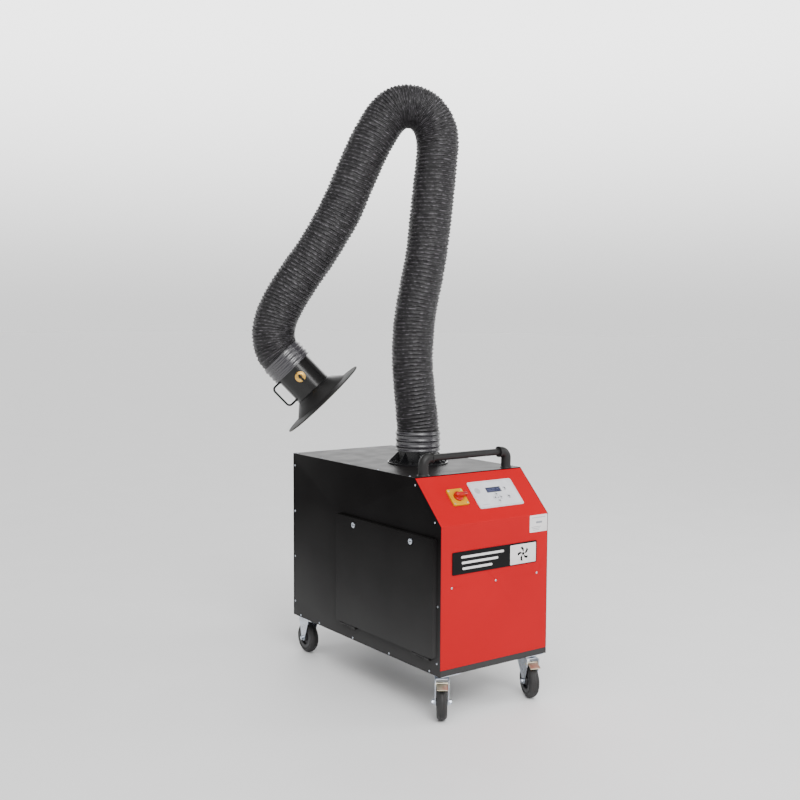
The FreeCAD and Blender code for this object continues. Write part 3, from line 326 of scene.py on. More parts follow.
# ---------------------------------------------------------------- mesh helpers
def add_mesh(name, vertices, faces, material, body, place=None, smooth=True):
    mesh = bpy.data.meshes.new(name)
    mesh.from_pydata([tuple(v) for v in vertices], [], [tuple(f) for f in faces])
    mesh.validate()
    piece = bpy.data.objects.new(name, mesh)
    bpy.context.scene.collection.objects.link(piece)
    if place is not None:
        mesh.transform(place)
    mesh.materials.append(material)
    if smooth:
        mesh.shade_smooth()
    if body:
        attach(piece, body)
    return piece


def from_bmesh(name, shape, material, body, place=None, smooth_below=40):
    bmesh.ops.recalc_face_normals(shape, faces=shape.faces)
    mesh = bpy.data.meshes.new(name)
    shape.to_mesh(mesh)
    shape.free()
    piece = bpy.data.objects.new(name, mesh)
    bpy.context.scene.collection.objects.link(piece)
    if place is not None:
        mesh.transform(place)
    mesh.materials.append(material)
    mesh.shade_smooth()
    mesh.set_sharp_from_angle(angle=math.radians(smooth_below))
    if body:
        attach(piece, body)
    return piece


def add_bevel(piece, width):
    bevel = piece.modifiers.new("edge", "BEVEL")
    bevel.width = width
    bevel.segments = 2
    bevel.limit_method = "ANGLE"
    bevel.angle_limit = math.radians(35)
    bevel.harden_normals = False


def rounded_profile(points, steps=5):
    """Corners given as (radius, height, rounding) become short arcs."""
    out = []
    count = len(points)
    for n in range(count):
        corner = Vector(points[n][:2])
        rounding = points[n][2] if len(points[n]) > 2 else 0
        if not rounding:
            out.append(tuple(corner))
            continue
        before, after = Vector(points[n - 1][:2]), Vector(points[(n + 1) % count][:2])
        a = corner + (before - corner).normalized() * rounding
        b = corner + (after - corner).normalized() * rounding
        for k in range(steps + 1):
            t = k / steps
            out.append(tuple(a * (1 - t) ** 2 + corner * 2 * t * (1 - t) + b * t * t))
    return out


def lathe_into(shape, profile, place, segments=96):
    """Adds a ring turned about Z from a closed profile of (radius, height) points."""
    rings = []
    for n in range(segments):
        a = 2 * math.pi * n / segments
        ring = [
            shape.verts.new(place @ Vector((r * math.cos(a), r * math.sin(a), z))) for r, z in profile
        ]
        rings.append(ring)
    for n in range(segments):
        here, there = rings[n], rings[(n + 1) % segments]
        for k in range(len(profile)):
            nxt = (k + 1) % len(profile)
            shape.faces.new((here[k], there[k], there[nxt], here[nxt]))


def lathe(name, profile, place, material, body, segments=96):
    shape = bmesh.new()
    lathe_into(shape, profile, place, segments)
    return from_bmesh(name, shape, material, body)


def slab_into(shape, outline, z0, z1, place, inset=0.0):
    """Adds a plate with the outline, from z0 to z1; inset chamfers its upper edge."""
    centre = sum((Vector(p) for p in outline), Vector((0, 0))) / len(outline)

    def ring(z, shrink):
        made = []
        for p in outline:
            away = Vector(p) - centre
            scale = max(0.0, 1 - shrink / max(away.length, 1e-9))
            q = centre + away * scale
            made.append(shape.verts.new(place @ Vector((q.x, q.y, z))))
        return made

    levels = [ring(z0, 0)]
    if inset:
        levels += [ring(z1 - inset, 0), ring(z1 - inset * 0.3, inset * 0.3), ring(z1, inset)]
    else:
        levels.append(ring(z1, 0))
    count = len(outline)
    for low, high in zip(levels, levels[1:]):
        for n in range(count):
            m = (n + 1) % count
            shape.faces.new((low[n], low[m], high[m], high[n]))
    shape.faces.new(levels[-1])
    shape.faces.new(list(reversed(levels[0])))


def rectangle(x, y, width, height, corner=0.0, steps=5):
    points = []
    for cx, cy, start in (
        (x + width / 2 - corner, y + height / 2 - corner, 0),
        (x - width / 2 + corner, y + height / 2 - corner, 90),
        (x - width / 2 + corner, y - height / 2 + corner, 180),
        (x + width / 2 - corner, y - height / 2 + corner, 270),
    ):
        if not corner:
            points.append((cx, cy))
            continue
        for k in range(steps + 1):
            a = math.radians(start + 90 * k / steps)
            points.append((cx + corner * math.cos(a), cy + corner * math.sin(a)))
    return points


def disc(x, y, radius, count=32, start=0.0):
    angles = [start + 2 * math.pi * n / count for n in range(count)]
    return [(x + radius * math.cos(a), y + radius * math.sin(a)) for a in angles]


def slabs(name, parts, material, body, place, smooth_below=30):
    """One piece made of several plates: (outline, z0, z1, inset)."""
    shape = bmesh.new()
    for outline, z0, z1, inset in parts:
        slab_into(shape, outline, z0, z1, place, inset)
    return from_bmesh(name, shape, material, body, None, smooth_below)


# ---------------------------------------------------------------- CAD nodes: finish and edges
def dress(material, edge, *names):
    """Gives CAD nodes a finish and, where edge isn't zero, rounded edges of that width."""
    for name in names:
        node = NODES[name]
        if not node.material_slots:
            node.data.materials.append(material)
        for slot in node.material_slots:
            slot.link = "OBJECT"
            slot.material = material
        if edge:
            weld = node.modifiers.new("weld", "WELD")
            weld.merge_threshold = 0.00001
            add_bevel(node, edge)
            flat = node.modifiers.new("flat", "WEIGHTED_NORMAL")
            flat.keep_sharp = True


def fold(name, width=0.0009):
    """A sheet panel with its long edges rounded; the rims of its screw holes and slots stay as cut."""
    shape = bmesh.new()
    shape.from_mesh(NODES[name].data)
    bmesh.ops.remove_doubles(shape, verts=shape.verts, dist=0.00001)
    long_edges = [
        edge for edge in shape.edges
        if len(edge.link_faces) == 2 and edge.calc_face_angle(0) > math.radians(35)
        and edge.calc_length() > 0.02
    ]
    bmesh.ops.bevel(
        shape, geom=long_edges, offset=width, segments=2, profile=0.5, affect="EDGES", clamp_overlap=True
    )
    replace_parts(from_bmesh(name + "_folded", shape, BLACK, "cabinet", None, 30), name)


for panel in ("left_side_panel", "right_side_panel", "rear_panel"):
    dress(BLACK, 0.0, panel)
    fold(panel)
dress(TOP_BLACK, 0.0008, "top_cover")
dress(BLACK, 0.0008, "base_tray")
dress(BLACK, 0.0014, "service_door")
dress(BLACK, 0.0, "inner_frame", "fan_scroll", "fan_motor", "door_hinges")
dress(RED, 0.0010, "front_panel")
dress(FLANGE_BLACK, 0.0010, "arm_flange")
dress(HOOD_BLACK, 0.0006, "hood_tube")
dress(ZINC, 0.0006, "castor_plates", "rear_forks", "front_fork_left", "front_fork_right")
dress(ZINC, 0.0004, "latch_front", "latch_rear", "panel_screws")
dress(YELLOW_ZINC, 0.0008, "brake_pedal_left", "brake_pedal_right")
dress(BLACK_STEEL, 0.0006, "flange_bolts")
dress(BRASS, 0.0006, "damper")
dress(GRIP, 0.0012, "handle_elbows", "cable_gland")
dress(GRIP, 0.0, "handle_bar")
dress(STEEL, 0.0, "swivel_collar")
dress(ALUMINIUM, 0.0, "lower_link", "elbow_link", "upper_link", "impeller", "spark_arrestor")
dress(YELLOW, 0.0012, "isolator_plate")
dress(SIGNAL_RED, 0.0015, "isolator_knob")
dress(WHITE, 0.0005, "keypad_frame", "keypad_keys")
dress(DISPLAY, 0.0003, "display_window")
dress(PLATE_BLACK, 0.0005, "nameplate")
dress(MEDIA, 0.0, "main_filter", "pre_filter")
dress(CUFF, 0.0008, "base_cuff", "hood_cuff", "door_gasket")
dress(GLOSS_BLACK, 0.0, "hood_handle")
for corner in ("front_left", "front_right", "rear_left", "rear_right"):
    dress(TYRE, 0.0015, "tyre_" + corner)
    dress(HUB, 0.0010, "hub_" + corner)

# ---------------------------------------------------------------- the hose
HOOD_AXIS = [
    (367 + back * math.sin(HOOD_TILT), 248 + back * math.cos(HOOD_TILT))
    for back in (242, 236, 229, 218, 206, 190, 172)
]
HOSE_POINTS = [(0, z) for z in (56.5, 72, 88, 104, 120, 134)] + [
    (6, 200), (15, 284), (22, 360), (23, 438), (17, 546), (3, 635), (-19, 745), (-36, 864),
    (-49, 985), (-61, 1107), (-68, 1190), (-68, 1250), (-50, 1304), (-12, 1345), (42, 1362),
    (93, 1350), (132, 1313), (161, 1268), (192, 1212), (228, 1134), (264, 1050), (301, 967),
    (343, 890), (390, 813), (442, 738), (494, 660), (534, 588), (555, 524), (555, 468),
] + HOOD_AXIS
PITCH = 0.0150
HOSE_RADIUS = 0.0822
TUCKED_RADIUS = 0.0808
RIB_DEPTH = 0.0054
HOSE_SIDES = 84
RINGS_PER_TURN = 8
BEND_REACH = 0.03
NOISE_ROWS = 997
SPLITS = [(-10, 700), (42, 1362), (343, 890)]


def spline_through(points):
    """Natural cubic through points: samples along it, and the arc length at each."""
    p = np.array(points, float) * MM
    knots = np.concatenate([[0], np.cumsum(np.linalg.norm(np.diff(p, axis=0), axis=1))])
    n, h = len(p), np.diff(knots)
    a = np.zeros((n, n))
    b = np.zeros((n, 2))
    a[0, 0] = a[-1, -1] = 1
    for i in range(1, n - 1):
        a[i, i - 1 : i + 2] = h[i - 1], 2 * (h[i - 1] + h[i]), h[i]
        b[i] = 6 * ((p[i + 1] - p[i]) / h[i] - (p[i] - p[i - 1]) / h[i - 1])
    m = np.linalg.solve(a, b)
    fine = np.linspace(0, knots[-1], 12000)
    i = np.clip(np.searchsorted(knots, fine) - 1, 0, n - 2)
    t, hi = (fine - knots[i])[:, None], h[i][:, None]
    u = hi - t
    curve = (
        m[i] * u**3 / (6 * hi) + m[i + 1] * t**3 / (6 * hi)
        + (p[i] / hi - m[i] * hi / 6) * u + (p[i + 1] / hi - m[i + 1] * hi / 6) * t
    )
    length = np.concatenate([[0], np.cumsum(np.linalg.norm(np.diff(curve, axis=0), axis=1))])
    return curve, length


def value_noise(x, y, seed, period):
    """Smooth seeded noise on a grid that repeats in x after period cells."""
    table = np.random.default_rng(seed).random((period, NOISE_ROWS))
    xi, yi = np.floor(x).astype(int), np.floor(y).astype(int)
    fx, fy = x - xi, y - yi
    fx, fy = fx * fx * (3 - 2 * fx), fy * fy * (3 - 2 * fy)

    def at(i, j):
        return table[i % period, j % NOISE_ROWS]

    low = at(xi, yi) * (1 - fx) + at(xi + 1, yi) * fx
    high = at(xi, yi + 1) * (1 - fx) + at(xi + 1, yi + 1) * fx
    return low * (1 - fy) + high * fy - 0.5


def wire_turns():
    """Turns of wire up to each sample: a bend takes more of them, so that its outside keeps the pitch."""
    heading = np.unwrap(np.arctan2(np.gradient(CURVE[:, 1]), np.gradient(CURVE[:, 0])))
    bend = np.abs(np.gradient(heading, LENGTH))
    window = int(0.05 / (LENGTH[-1] / len(LENGTH))) | 1
    padded = np.pad(bend, window // 2, mode="edge")
    bend = np.convolve(padded, np.ones(window) / window, mode="valid")
    per_metre = (1 + HOSE_RADIUS * bend) / PITCH
    return np.concatenate([[0], np.cumsum((per_metre[1:] + per_metre[:-1]) / 2 * np.diff(LENGTH))])


CURVE, LENGTH = spline_through(HOSE_POINTS)
TURNS = wire_turns()


def centre_line(u):
    return np.stack([np.interp(u, LENGTH, CURVE[:, k]) for k in (0, 1)], 1)


def hose_piece(name, nodes, u0, u1):
    """A length of wire-wound hose between two arc lengths, in place of the CAD hose nodes that it hides."""
    first, last = np.interp((u0, u1), LENGTH, TURNS)
    count = int(round((last - first) * RINGS_PER_TURN)) + 1
    wound = np.linspace(first, last, count)
    u = np.interp(wound, TURNS, LENGTH)
    centre = centre_line(u)
    tangent = centre_line(u + 0.004) - centre_line(u - 0.004)
    tangent /= np.linalg.norm(tangent, axis=1)[:, None]
    turn = (centre_line(u + BEND_REACH) - centre) - (centre - centre_line(u - BEND_REACH))
    side = np.stack([tangent[:, 1], -tangent[:, 0]], 1)
    curvature = np.sum(turn * side, 1) / BEND_REACH**2
    theta = np.arange(HOSE_SIDES) * 2 * np.pi / HOSE_SIDES
    uu, tt = np.meshgrid(u, theta, indexing="ij")
    squeeze = 1 - HOSE_RADIUS * curvature[:, None] * np.cos(tt)
    turns = wound[:, None] - tt / (2 * np.pi)
    spacing = squeeze * np.gradient(u, wound)[:, None]
    around = tt / (2 * np.pi)
    wander = 0.20 * value_noise(around * 19, turns * 0.9, 3, 19)
    wander = wander + 0.16 * value_noise(around * 6, turns * 0.4, 5, 6)
    part = (turns + wander) % 1.0
    sag = (4 * part * (1 - part)) ** 0.85
    depth = RIB_DEPTH * np.clip(spacing / PITCH, 0.12, 1.0) ** 0.5
    pucker = value_noise(around * 40, turns * 1.6, 9, 40) * 0.0042 * sag
    slump = value_noise(around * 5, uu / 0.11, 12, 5) * 0.0028
    radius = HOSE_RADIUS + 0.0010 - depth * sag + pucker + slump
    # the two ends of the whole hose run smoothly into their cuffs
    tucked = np.clip(np.minimum(uu - 0.062, LENGTH[-1] - 0.060 - uu) / 0.012, 0, 1)
    radius = TUCKED_RADIUS * (1 - tucked) + radius * tucked
    s = centre[:, 0][:, None] + side[:, 0][:, None] * radius * np.cos(tt)
    z = centre[:, 1][:, None] + side[:, 1][:, None] * radius * np.cos(tt)
    t = radius * np.sin(tt)
    vertices = np.stack([s, t, z], -1).reshape(-1, 3)
    faces = []
    for low in range(0, (count - 1) * HOSE_SIDES, HOSE_SIDES):
        high = low + HOSE_SIDES
        for k in range(HOSE_SIDES):
            m = (k + 1) % HOSE_SIDES
            faces.append((low + k, low + m, high + m, high + k))
    piece = add_mesh(name, vertices, faces, HOSE, None, ARM)
    layer = piece.data.uv_layers.new(name="turns")
    for polygon in piece.data.polygons:
        k = polygon.index % HOSE_SIDES
        for loop in polygon.loop_indices:
            ring, column = divmod(piece.data.loops[loop].vertex_index, HOSE_SIDES)
            if k == HOSE_SIDES - 1 and column == 0:
                column = HOSE_SIDES
            share = column / HOSE_SIDES
            turn_count = float(wound[ring]) - share + float(wander[ring, column % HOSE_SIDES])
            layer.data[loop].uv = (turn_count, share)
    piece.data.flip_normals()
    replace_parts(piece, *nodes)
    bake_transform(piece)


def arc_length_near(s, z):
    distance = np.hypot(CURVE[:, 0] - s * MM, CURVE[:, 1] - z * MM)
    return float(LENGTH[int(distance.argmin())])


CUTS = [0.0, *(arc_length_near(s, z) for s, z in SPLITS), float(LENGTH[-1])]
hose_piece(
    "hose_base", ["hose_shoulder", "hose_lower"], CUTS[0], CUTS[1],
)
hose_piece(
    "hose_rise", ["hose_elbow_low", "hose_arch"], CUTS[1], CUTS[2],
)
hose_piece(
    "hose_fall", ["hose_elbow_high", "hose_upper"], CUTS[2], CUTS[3],
)
hose_piece(
    "hose_end", ["hose_wrist"], CUTS[3], CUTS[4],
)


# ---------------------------------------------------------------- rubber cuffs
def cuff_profile(low, high, ribs, bore=0.0826, wall=0.0842, rib=0.0870):
    points = [
        (bore, low), (rib - 0.0004, low, 0.0008), (rib - 0.0002, low + 0.004, 0.0008),
        (wall, low + 0.0072, 0.002),
    ]
    for z in ribs:
        points += [
            (wall, z - 0.0062, 0.0015), (rib, z - 0.0030, 0.0018), (rib + 0.0004, z),
            (rib, z + 0.0030, 0.0018), (wall, z + 0.0062, 0.0015),
        ]
    points += [(wall, high - 0.002, 0.001), (wall + 0.0006, high, 0.0012), (bore, high)]
    return rounded_profile(points)


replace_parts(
    lathe("base_sleeve", cuff_profile(0.0505, 0.126, [0.070, 0.093, 0.116]), ARM, CUFF, "arm_base"),
    "base_cuff",
)
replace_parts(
    lathe("hood_sleeve", cuff_profile(0.168, 0.236, [0.186, 0.204, 0.222]), HOOD, CUFF, "hood"),
    "hood_cuff",
)

# ---------------------------------------------------------------- hood details
lathe("hood_rim_bead", disc(0.1768, 0.0022, 0.0022, 12), HOOD, HOOD_BLACK, "hood", 128)
lathe("hood_seam", disc(0.0754, 0.0575, 0.0016, 10), HOOD, GLOSS_BLACK, "hood")
DAMPER = HOOD @ Matrix.Translation((0, 0.0775, 0.127)) @ Matrix.Rotation(math.radians(-90), 4, "X")
lathe(
    "damper_dial",
    rounded_profile([
        (0.0045, 0.0032), (0.0045, 0.0058), (0.012, 0.0062, 0.001), (0.0145, 0.0046, 0.001),
        (0.0180, 0.0046, 0.001), (0.0203, 0.0030, 0.001), (0.0203, -0.0002),
    ]),
    DAMPER, BRASS, "damper", 64,
)
slabs(
    "damper_lever",
    [
        (rectangle(0.0, 0.006, 0.0085, 0.034, 0.004), 0.0050, 0.0130, 0.0015),
        (disc(0, 0, 0.0075, 6), 0.006, 0.0150, 0.0008),
    ],
    GLOSS_BLACK, "damper", DAMPER,
)
WELD = rounded_profile([
    (0.0, -0.002), (0.0072, -0.002), (0.0062, 0.0022, 0.002), (0.0041, 0.0040), (0.0, 0.0040),
])
for place in (0.070, 0.162):
    lathe(
        "hood_handle_weld_%d" % round(place * 1000), WELD,
        HOOD @ Matrix.Translation((0.0745, 0, place)) @ Matrix.Rotation(math.radians(90), 4, "Y"),
        GLOSS_BLACK, "hood", 24,
    )

# ---------------------------------------------------------------- control panel graphics
KEYS = [(363, 89), (363, 126), (310.5, 110), (298, 125), (325, 125.5), (310.6, 140)]
PAD = SLOPE @ Matrix.Translation((0.311, -0.106, 0.003))
KEY_TOP = SLOPE @ Matrix.Translation((0, 0, 0.0043))


def triangle(x, y, size, angle):
    return disc(x, y, size, 3, math.radians(angle))


key_rings, arrows = [], []
for across, down in KEYS:
    key_rings.append((across * MM, -down * MM))
for (across, down), angle in zip(KEYS[2:], (90, 180, 0, 270)):
    arrows.append((triangle(across * MM, -down * MM, 0.0052, angle), 0, 0.00035, 0))
arrows.append((disc(0.3118, -0.1252, 0.0022, 20), -0.0010, -0.0006, 0))
arrows.append((disc(0.363, -0.0875, 0.0036, 24), 0, 0.00035, 0))
arrows.append((rectangle(0.363, -0.0935, 0.0072, 0.0020, 0.0006), 0, 0.00035, 0))
arrows.append((rectangle(0.363, -0.1245, 0.0078, 0.0052, 0.0012), 0, 0.00035, 0))
arrows.append((triangle(0.363, -0.1302, 0.0030, 270), 0, 0.00035, 0))
slabs("key_symbols", arrows, INK, "cabinet", KEY_TOP)
shape = bmesh.new()
for x, y in key_rings:
    ring = [(0.0069, 0.0), (0.0077, 0.0), (0.0077, 0.00025), (0.0069, 0.00025)]
    lathe_into(shape, ring, SLOPE @ Matrix.Translation((x, y, 0.003)), 40)
from_bmesh("key_outlines", shape, GREY_INK, "cabinet")
border = bmesh.new()
for side in (1, -1):
    slab_into(border, rectangle(0, side * 0.0545, 0.194, 0.0007), 0, 0.0002, PAD)
for side in (-1, 1):
    slab_into(border, rectangle(side * 0.0995, 0, 0.0007, 0.104), 0, 0.0002, PAD)
from_bmesh("keypad_border", border, GREY_INK, "cabinet")
slabs(
    "keypad_marks",
    [
        (disc(-0.076, 0.018, 0.0125, 40), 0, 0.0002, 0),
        (rectangle(-0.068, -0.044, 0.034, 0.0022, 0.001), 0, 0.0002, 0),
    ],
    PALE_INK, "cabinet", PAD,
)
slabs(
    "display_bezel",
    [
        (rectangle(-0.001, 0.0265, 0.069, 0.0022, 0.001), 0, 0.0006, 0.0002),
        (rectangle(-0.001, 0.0065, 0.069, 0.0022, 0.001), 0, 0.0006, 0.0002),
        (rectangle(-0.0345, 0.0165, 0.0022, 0.0222, 0.001), 0, 0.0006, 0.0002),
        (rectangle(0.0325, 0.0165, 0.0022, 0.0222, 0.001), 0, 0.0006, 0.0002),
    ],
    INK, "cabinet", PAD,
)
PIXEL = glow("display_pixels", (0.085, 0.095, 0.17), 0.08)
cells = []
for row, lit in enumerate(((0, 1, 2, 3, 5, 6, 7, 10, 11), (0, 1, 2, 3, 4, 5, 6))):
    for column in lit:
        cell = rectangle(-0.0275 + column * 0.0046, 0.0200 - row * 0.0072, 0.0034, 0.0044, 0.0004)
        cells.append((cell, -0.0006, -0.0003, 0))
slabs("display_cells", cells, PIXEL, "cabinet", PAD)

# isolator: corner screws, collar ring and a shaped grip
ISOLATOR = SLOPE @ Matrix.Translation((0.135, -0.1045, 0.006))
SMALL_HEAD = [(0.0, -0.001), (0.0032, -0.001), (0.0032, 0.0006), (0.0022, 0.0012), (0.0, 0.0013)]
shape = bmesh.new()
for sx in (-1, 1):
    for sy in (-1, 1):
        spot = ISOLATOR @ Matrix.Translation((sx * 0.028, sy * 0.028, 0))
        lathe_into(shape, SMALL_HEAD, spot, 20)
from_bmesh("isolator_screws", shape, STEEL, "cabinet")
lathe(
    "isolator_collar",
    rounded_profile([
        (0.0235, -0.0005), (0.0285, -0.0005), (0.0280, 0.0018, 0.0006), (0.0240, 0.0022, 0.0006),
    ]),
    ISOLATOR, YELLOW, "cabinet", 64,
)
grip = bmesh.new()
lathe_into(
    grip,
    rounded_profile([
        (0.0, 0.0005), (0.0188, 0.0005), (0.0188, 0.0055, 0.001), (0.0168, 0.0085, 0.001), (0.0, 0.0095),
    ]),
    ISOLATOR, 64,
)
slab_into(
    grip,
    [(-0.016, -0.0072), (0.018, -0.0072), (0.0315, -0.0058), (0.0335, 0), (0.0315, 0.0058), (0.018, 0.0072),
     (-0.016, 0.0072), (-0.0182, 0)],
    0.006, 0.0208, ISOLATOR, 0.0022,
)
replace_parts(from_bmesh("isolator_grip", grip, SIGNAL_RED, "isolator_knob", None, 50), "isolator_knob")
slabs(
    "isolator_pointer", [(rectangle(0.022, 0, 0.016, 0.0018, 0.0008), 0.0205, 0.0211, 0)],
    INK, "isolator_knob", ISOLATOR,
)

# ---------------------------------------------------------------- plates on the front
PLATE = FACE @ Matrix.Translation((-0.003, 0.552, 0.002))
WHITE_FIELD = rectangle(0.1305, -0.0015, 0.124, 0.0715, 0.003)
slabs("plate_panel", [(WHITE_FIELD, 0, 0.0004, 0.0001)], LABEL, "cabinet", PLATE)
bars = []
for n in range(3):
    bar = rectangle(-0.060 - n * 0.012, 0.020 - n * 0.0205, 0.196 - n * 0.030, 0.0085, 0.0036)
    bars.append((bar, 0, 0.0004, 0))
slabs("plate_lines", bars, LABEL, "cabinet", PLATE)
icon = [(disc(0.1305, -0.0015, 0.0055, 24), 0.0003, 0.0008, 0)]
for n in range(5):
    a = 2 * math.pi * n / 5
    blade = []
    for r, da in ((0.008, 0), (0.018, 0.15), (0.027, 0.50), (0.026, 0.85), (0.015, 0.60), (0.008, 0.45)):
        blade.append((0.1305 + r * math.cos(a + da), -0.0015 + r * math.sin(a + da)))
    icon.append((blade, 0.0003, 0.0008, 0))
slabs("plate_icon", icon, PLATE_BLACK, "cabinet", PLATE)
RATING = FACE @ Matrix.Translation((0.2035, 0.6535, 0.0))
slabs("rating_label", [(rectangle(0, 0, 0.086, 0.063, 0.002), 0, 0.0004, 0.0001)], LABEL, "cabinet", RATING)
lines = [(rectangle(0.002, 0.004, 0.030, 0.0075, 0.001), 0.0003, 0.0006, 0)]
for n in range(3):
    line = rectangle(-0.012, -0.012 - 0.006 * n, 0.046 - 0.008 * n, 0.0016, 0.0005)
    lines.append((line, 0.0003, 0.0006, 0))
lines.append((rectangle(0.0, 0.022, 0.066, 0.0016, 0.0005), 0.0003, 0.0006, 0))
slabs("rating_lines", lines, GREY_INK, "cabinet", RATING)

# ---------------------------------------------------------------- latch faces
for label, y in (("front", -0.349), ("rear", 0.017)):
    face = CABINET @ Matrix.Translation((-0.2702, y, 0.615)) @ Matrix.Rotation(math.radians(-90), 4, "Y")
    lathe(
        "latch_rim_" + label,
        rounded_profile([
            (0.0082, -0.0004), (0.0106, -0.0004), (0.0106, 0.0006, 0.0004), (0.0096, 0.0012, 0.0004),
            (0.0082, 0.0008),
        ]),
        face, ZINC, "latch_" + label, 48,
    )
    slabs(
        "latch_wings_" + label,
        [(disc(dx, dy, 0.0026, 14), -0.0002, 0.0012, 0.0005)
         for dx, dy in ((0.0048, 0.0048), (-0.0048, 0.0048), (0.0048, -0.0048), (-0.0048, -0.0048))],
        ZINC, "latch_" + label, face,
    )
    # painted shade: dark ink pieces stand in for the shade inside the latch's slot and its side notch
    slabs(
        "latch_painted_slot_shade_" + label,
        [
            (rectangle(0, 0, 0.0030, 0.0140, 0.0008), -0.0002, 0.0003, 0),
            (rectangle(0.0058, 0, 0.0040, 0.0022), -0.0002, 0.0003, 0),
        ],
        INK, "latch_" + label, face,
    )

# ---------------------------------------------------------------- screws, with painted shade in their cross recesses
SIDE_SCREWS = [
    (149, 654), (34, 538), (18, 45), (15, 247), (60, 8.5), (306, 8.5), (549, 8.5), (794, 8.5),
    (940, 8.5), (985, 60), (985, 250), (985, 440), (985, 630),
]
FRONT_SCREWS = [(-200, 308), (0, 309), (197, 310)]
REAR_SCREWS = [(x, z) for x in (-236, 236) for z in (25, 235, 445, 655)]
TOP_SCREWS = [(x, y) for x in (-243, 243) for y in (190, 390, 590, 790, 975)]
TOP_SCREWS += [(x, 992) for x in (-120, 0, 120)]


def screw_places():
    for y, z in SIDE_SCREWS:
        for side in (-1, 1):
            turn = Matrix.Rotation(math.radians(90 * side), 4, "Y")
            yield Matrix.Translation((side * HALF_WIDTH, y * MM - HALF_LENGTH, BOTTOM + z * MM)) @ turn
    for screws, y, angle in ((FRONT_SCREWS, -HALF_LENGTH, 90), (REAR_SCREWS, HALF_LENGTH, -90)):
        for x, z in screws:
            turn = Matrix.Rotation(math.radians(angle), 4, "X")
            yield Matrix.Translation((x * MM, y, BOTTOM + z * MM)) @ turn
    for x, y in TOP_SCREWS:
        yield Matrix.Translation((x * MM, y * MM - HALF_LENGTH, TOP))


HEAD = rounded_profile([
    (0.0, -0.001), (0.0040, -0.001), (0.0042, 0.0006, 0.0003), (0.0030, 0.0019, 0.0006), (0.0, 0.0022),
], 3)
heads, recess_shade = bmesh.new(), bmesh.new()
for index, place in enumerate(screw_places()):
    spin = CABINET @ place @ Matrix.Rotation(0.7 * index, 4, "Z")
    lathe_into(heads, HEAD, spin, 20)
    # painted shade: a dark ink cross inside each head stands in for the shade in its cross recess
    slab_into(recess_shade, rectangle(0, 0, 0.0042, 0.0009), 0.0012, 0.0023, spin)
    slab_into(recess_shade, rectangle(0, 0, 0.0009, 0.0042), 0.0012, 0.0023, spin)
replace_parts(from_bmesh("screw_heads", heads, ZINC, "cabinet"), "panel_screws")
from_bmesh("screw_recess_shade", recess_shade, INK, "cabinet")

# ---------------------------------------------------------------- castor details
CASTORS = {
    "front_left": (castor_frame(-1, 0.055, 234.3), 0.038, "front_left_wheel", "front_left_castor"),
    "front_right": (castor_frame(1, 0.055, 250), 0.038, "front_right_wheel", "front_right_castor"),
    "rear_left": (castor_frame(-1, 0.966, 90), 0.0, "rear_left_wheel", "cabinet"),
    "rear_right": (castor_frame(1, 0.966, 90), 0.0, "rear_right_wheel", "cabinet"),
}
CROWN = [
    (0.0440, 0.0155), (0.0520, 0.0182, 0.002), (0.0555, 0.0168, 0.002), (0.0592, 0.0132, 0.002),
    (0.0614, 0.0088, 0.002),
]
RIM = [
    (0.030, 0.0142), (0.0436, 0.0142), (0.0436, 0.0166), (0.0420, 0.0172), (0.0316, 0.0172),
    (0.030, 0.0166),
]
TREAD = [(r, -z, *more) for r, z, *more in CROWN]
for z in (-0.0062, 0.0038):
    TREAD += [(0.0622, z - 0.0006), (0.0612, z + 0.0002), (0.0612, z + 0.0014), (0.0624, z + 0.0022)]
TREAD += [(r, z, *more) for r, z, *more in reversed(CROWN)]
for name, (place, trail, wheel_body, fork_body) in CASTORS.items():
    axle = place @ Matrix.Translation((trail, 0, WHEEL_RADIUS)) @ Matrix.Rotation(math.radians(90), 4, "X")
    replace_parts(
        lathe("tread_" + name, rounded_profile(TREAD, 4), axle, TYRE, wheel_body, 96), "tyre_" + name
    )
    covers = bmesh.new()
    for side in (-1, 1):
        lathe_into(covers, [(r, side * z) for r, z in RIM], axle, 72)
        for n in range(6):
            a = 2 * math.pi * n / 6
            spot = axle @ Matrix.Translation((0.0225 * math.cos(a), 0.0225 * math.sin(a), 0))
            slab_into(covers, disc(0, 0, 0.0035, 16), side * 0.0085, side * 0.0105, spot)
    from_bmesh("rim_" + name, covers, HUB, wheel_body)
    nuts = bmesh.new()
    for side in (-1, 1):
        slab_into(nuts, disc(0, 0, 0.0088, 6), 0.0298 * side, 0.0335 * side, axle)
        slab_into(nuts, disc(0, 0, 0.0045, 20), 0.0330 * side, 0.0362 * side, axle)
    from_bmesh("axle_nuts_" + name, nuts, ZINC, fork_body)

for side in ("left", "right"):
    place, _, _, fork_body = CASTORS["front_" + side]
    lathe(
        "ball_race_" + side,
        rounded_profile([
            (0.010, 0.1500), (0.0335, 0.1500), (0.0335, 0.1535, 0.001), (0.0300, 0.1560, 0.001),
            (0.010, 0.1560),
        ]),
        place, ZINC, fork_body, 64,
    )

# ---------------------------------------------------------------- floor, light and camera
floor = add_mesh(
    "floor", [(-60, -60, 0), (60, -60, 0), (60, 90, 0), (-60, 90, 0)], [(0, 1, 2, 3)],
    powder_coat("studio_floor", (0.86, 0.86, 0.86), 0.6, 60, 0.0002, variation=0.01), None, smooth=False,
)

world = bpy.data.worlds.new("studio")
bpy.context.scene.world = world
world.use_nodes = True
sky = world.node_tree


def sky_ramp(value, low, high, out_low, out_high):
    ramp = sky.nodes.new("ShaderNodeMapRange")
    ramp.interpolation_type = "SMOOTHSTEP"
    for socket, number in zip(RANGE_SOCKETS, (low, high, out_low, out_high)):
        ramp.inputs[socket].default_value = number
    sky.links.new(value, ramp.inputs["Value"])
    return ramp.outputs["Result"]


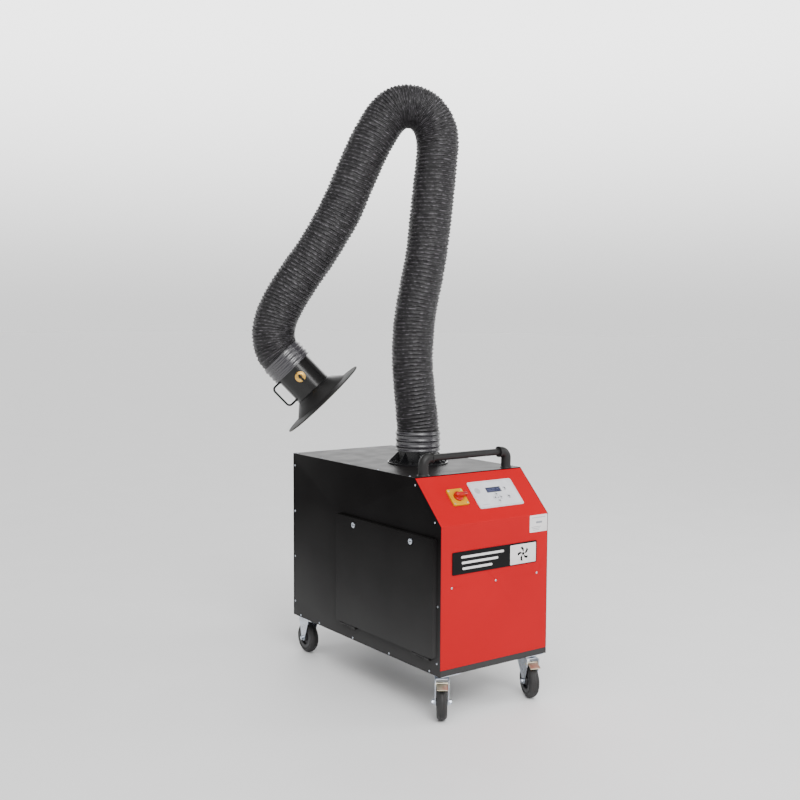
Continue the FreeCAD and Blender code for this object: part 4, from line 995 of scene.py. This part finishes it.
# a room that dims upwards, and behind the machine a bright sweep that brightens upwards
direction = sky.nodes.new("ShaderNodeTexCoord").outputs["Generated"]
ahead, height = sky.nodes.new("ShaderNodeVectorMath"), sky.nodes.new("ShaderNodeSeparateXYZ")
ahead.operation = "DOT_PRODUCT"
ahead.inputs[1].default_value = (0.584, 0.811, 0.0)
sky.links.new(direction, ahead.inputs[0])
sky.links.new(direction, height.inputs["Vector"])
room = sky_ramp(height.outputs["Z"], -0.02, 0.42, 1.14, 0.24)
extra, level = sky.nodes.new("ShaderNodeMath"), sky.nodes.new("ShaderNodeMath")
extra.operation, level.operation = "SUBTRACT", "MULTIPLY_ADD"
sky.links.new(sky_ramp(height.outputs["Z"], -0.01, 0.26, 1.25, 3.6), extra.inputs[0])
sky.links.new(room, extra.inputs[1])
sky.links.new(extra.outputs["Value"], level.inputs[0])
sky.links.new(sky_ramp(ahead.outputs["Value"], 0.60, 0.93, 0.0, 1.0), level.inputs[1])
sky.links.new(room, level.inputs[2])
sky.links.new(level.outputs["Value"], sky.nodes["Background"].inputs["Strength"])
sky.nodes["Background"].inputs["Color"].default_value = (1, 1, 1, 1)


def area_light(name, where, look_at, width, height, power):
    data = bpy.data.lights.new(name, "AREA")
    data.shape = "RECTANGLE"
    data.size, data.size_y, data.energy = width, height, power
    light = bpy.data.objects.new(name, data)
    light.location = where
    light.rotation_mode = "QUATERNION"
    light.rotation_quaternion = (Vector(look_at) - Vector(where)).to_track_quat("-Z", "Y")
    bpy.context.scene.collection.objects.link(light)


area_light("key", (-1.0, -4.2, 3.6), (0.15, 0, 0.8), 2.4, 2.0, 170)
area_light("fill", (4.2, -2.6, 2.6), (0.1, 0, 1.0), 2.0, 2.6, 80)
soft_sun = bpy.data.objects.new("overhead", bpy.data.lights.new("overhead", "SUN"))
soft_sun.data.energy = 2.6
soft_sun.data.angle = math.radians(70)
soft_sun.rotation_euler = (math.radians(22), math.radians(-12), 0)
bpy.context.scene.collection.objects.link(soft_sun)

camera = bpy.data.objects.new("camera", bpy.data.cameras.new("camera"))
camera.data.sensor_width = 36
camera.data.lens = 49.37
forward = Vector((0.5825, 0.8092, -0.0762)).normalized()
right = forward.cross(Vector((0, 0, 1))).normalized()
up = right.cross(forward)
roll = math.radians(0.25)
right, up = right * math.cos(roll) + up * math.sin(roll), up * math.cos(roll) - right * math.sin(roll)
turned = Matrix((right, up, -forward)).transposed().to_4x4()
camera.matrix_world = Matrix.Translation(SHIFT + Vector((-2.534, -3.430, 1.408))) @ turned
bpy.context.scene.collection.objects.link(camera)
bpy.context.scene.camera = camera
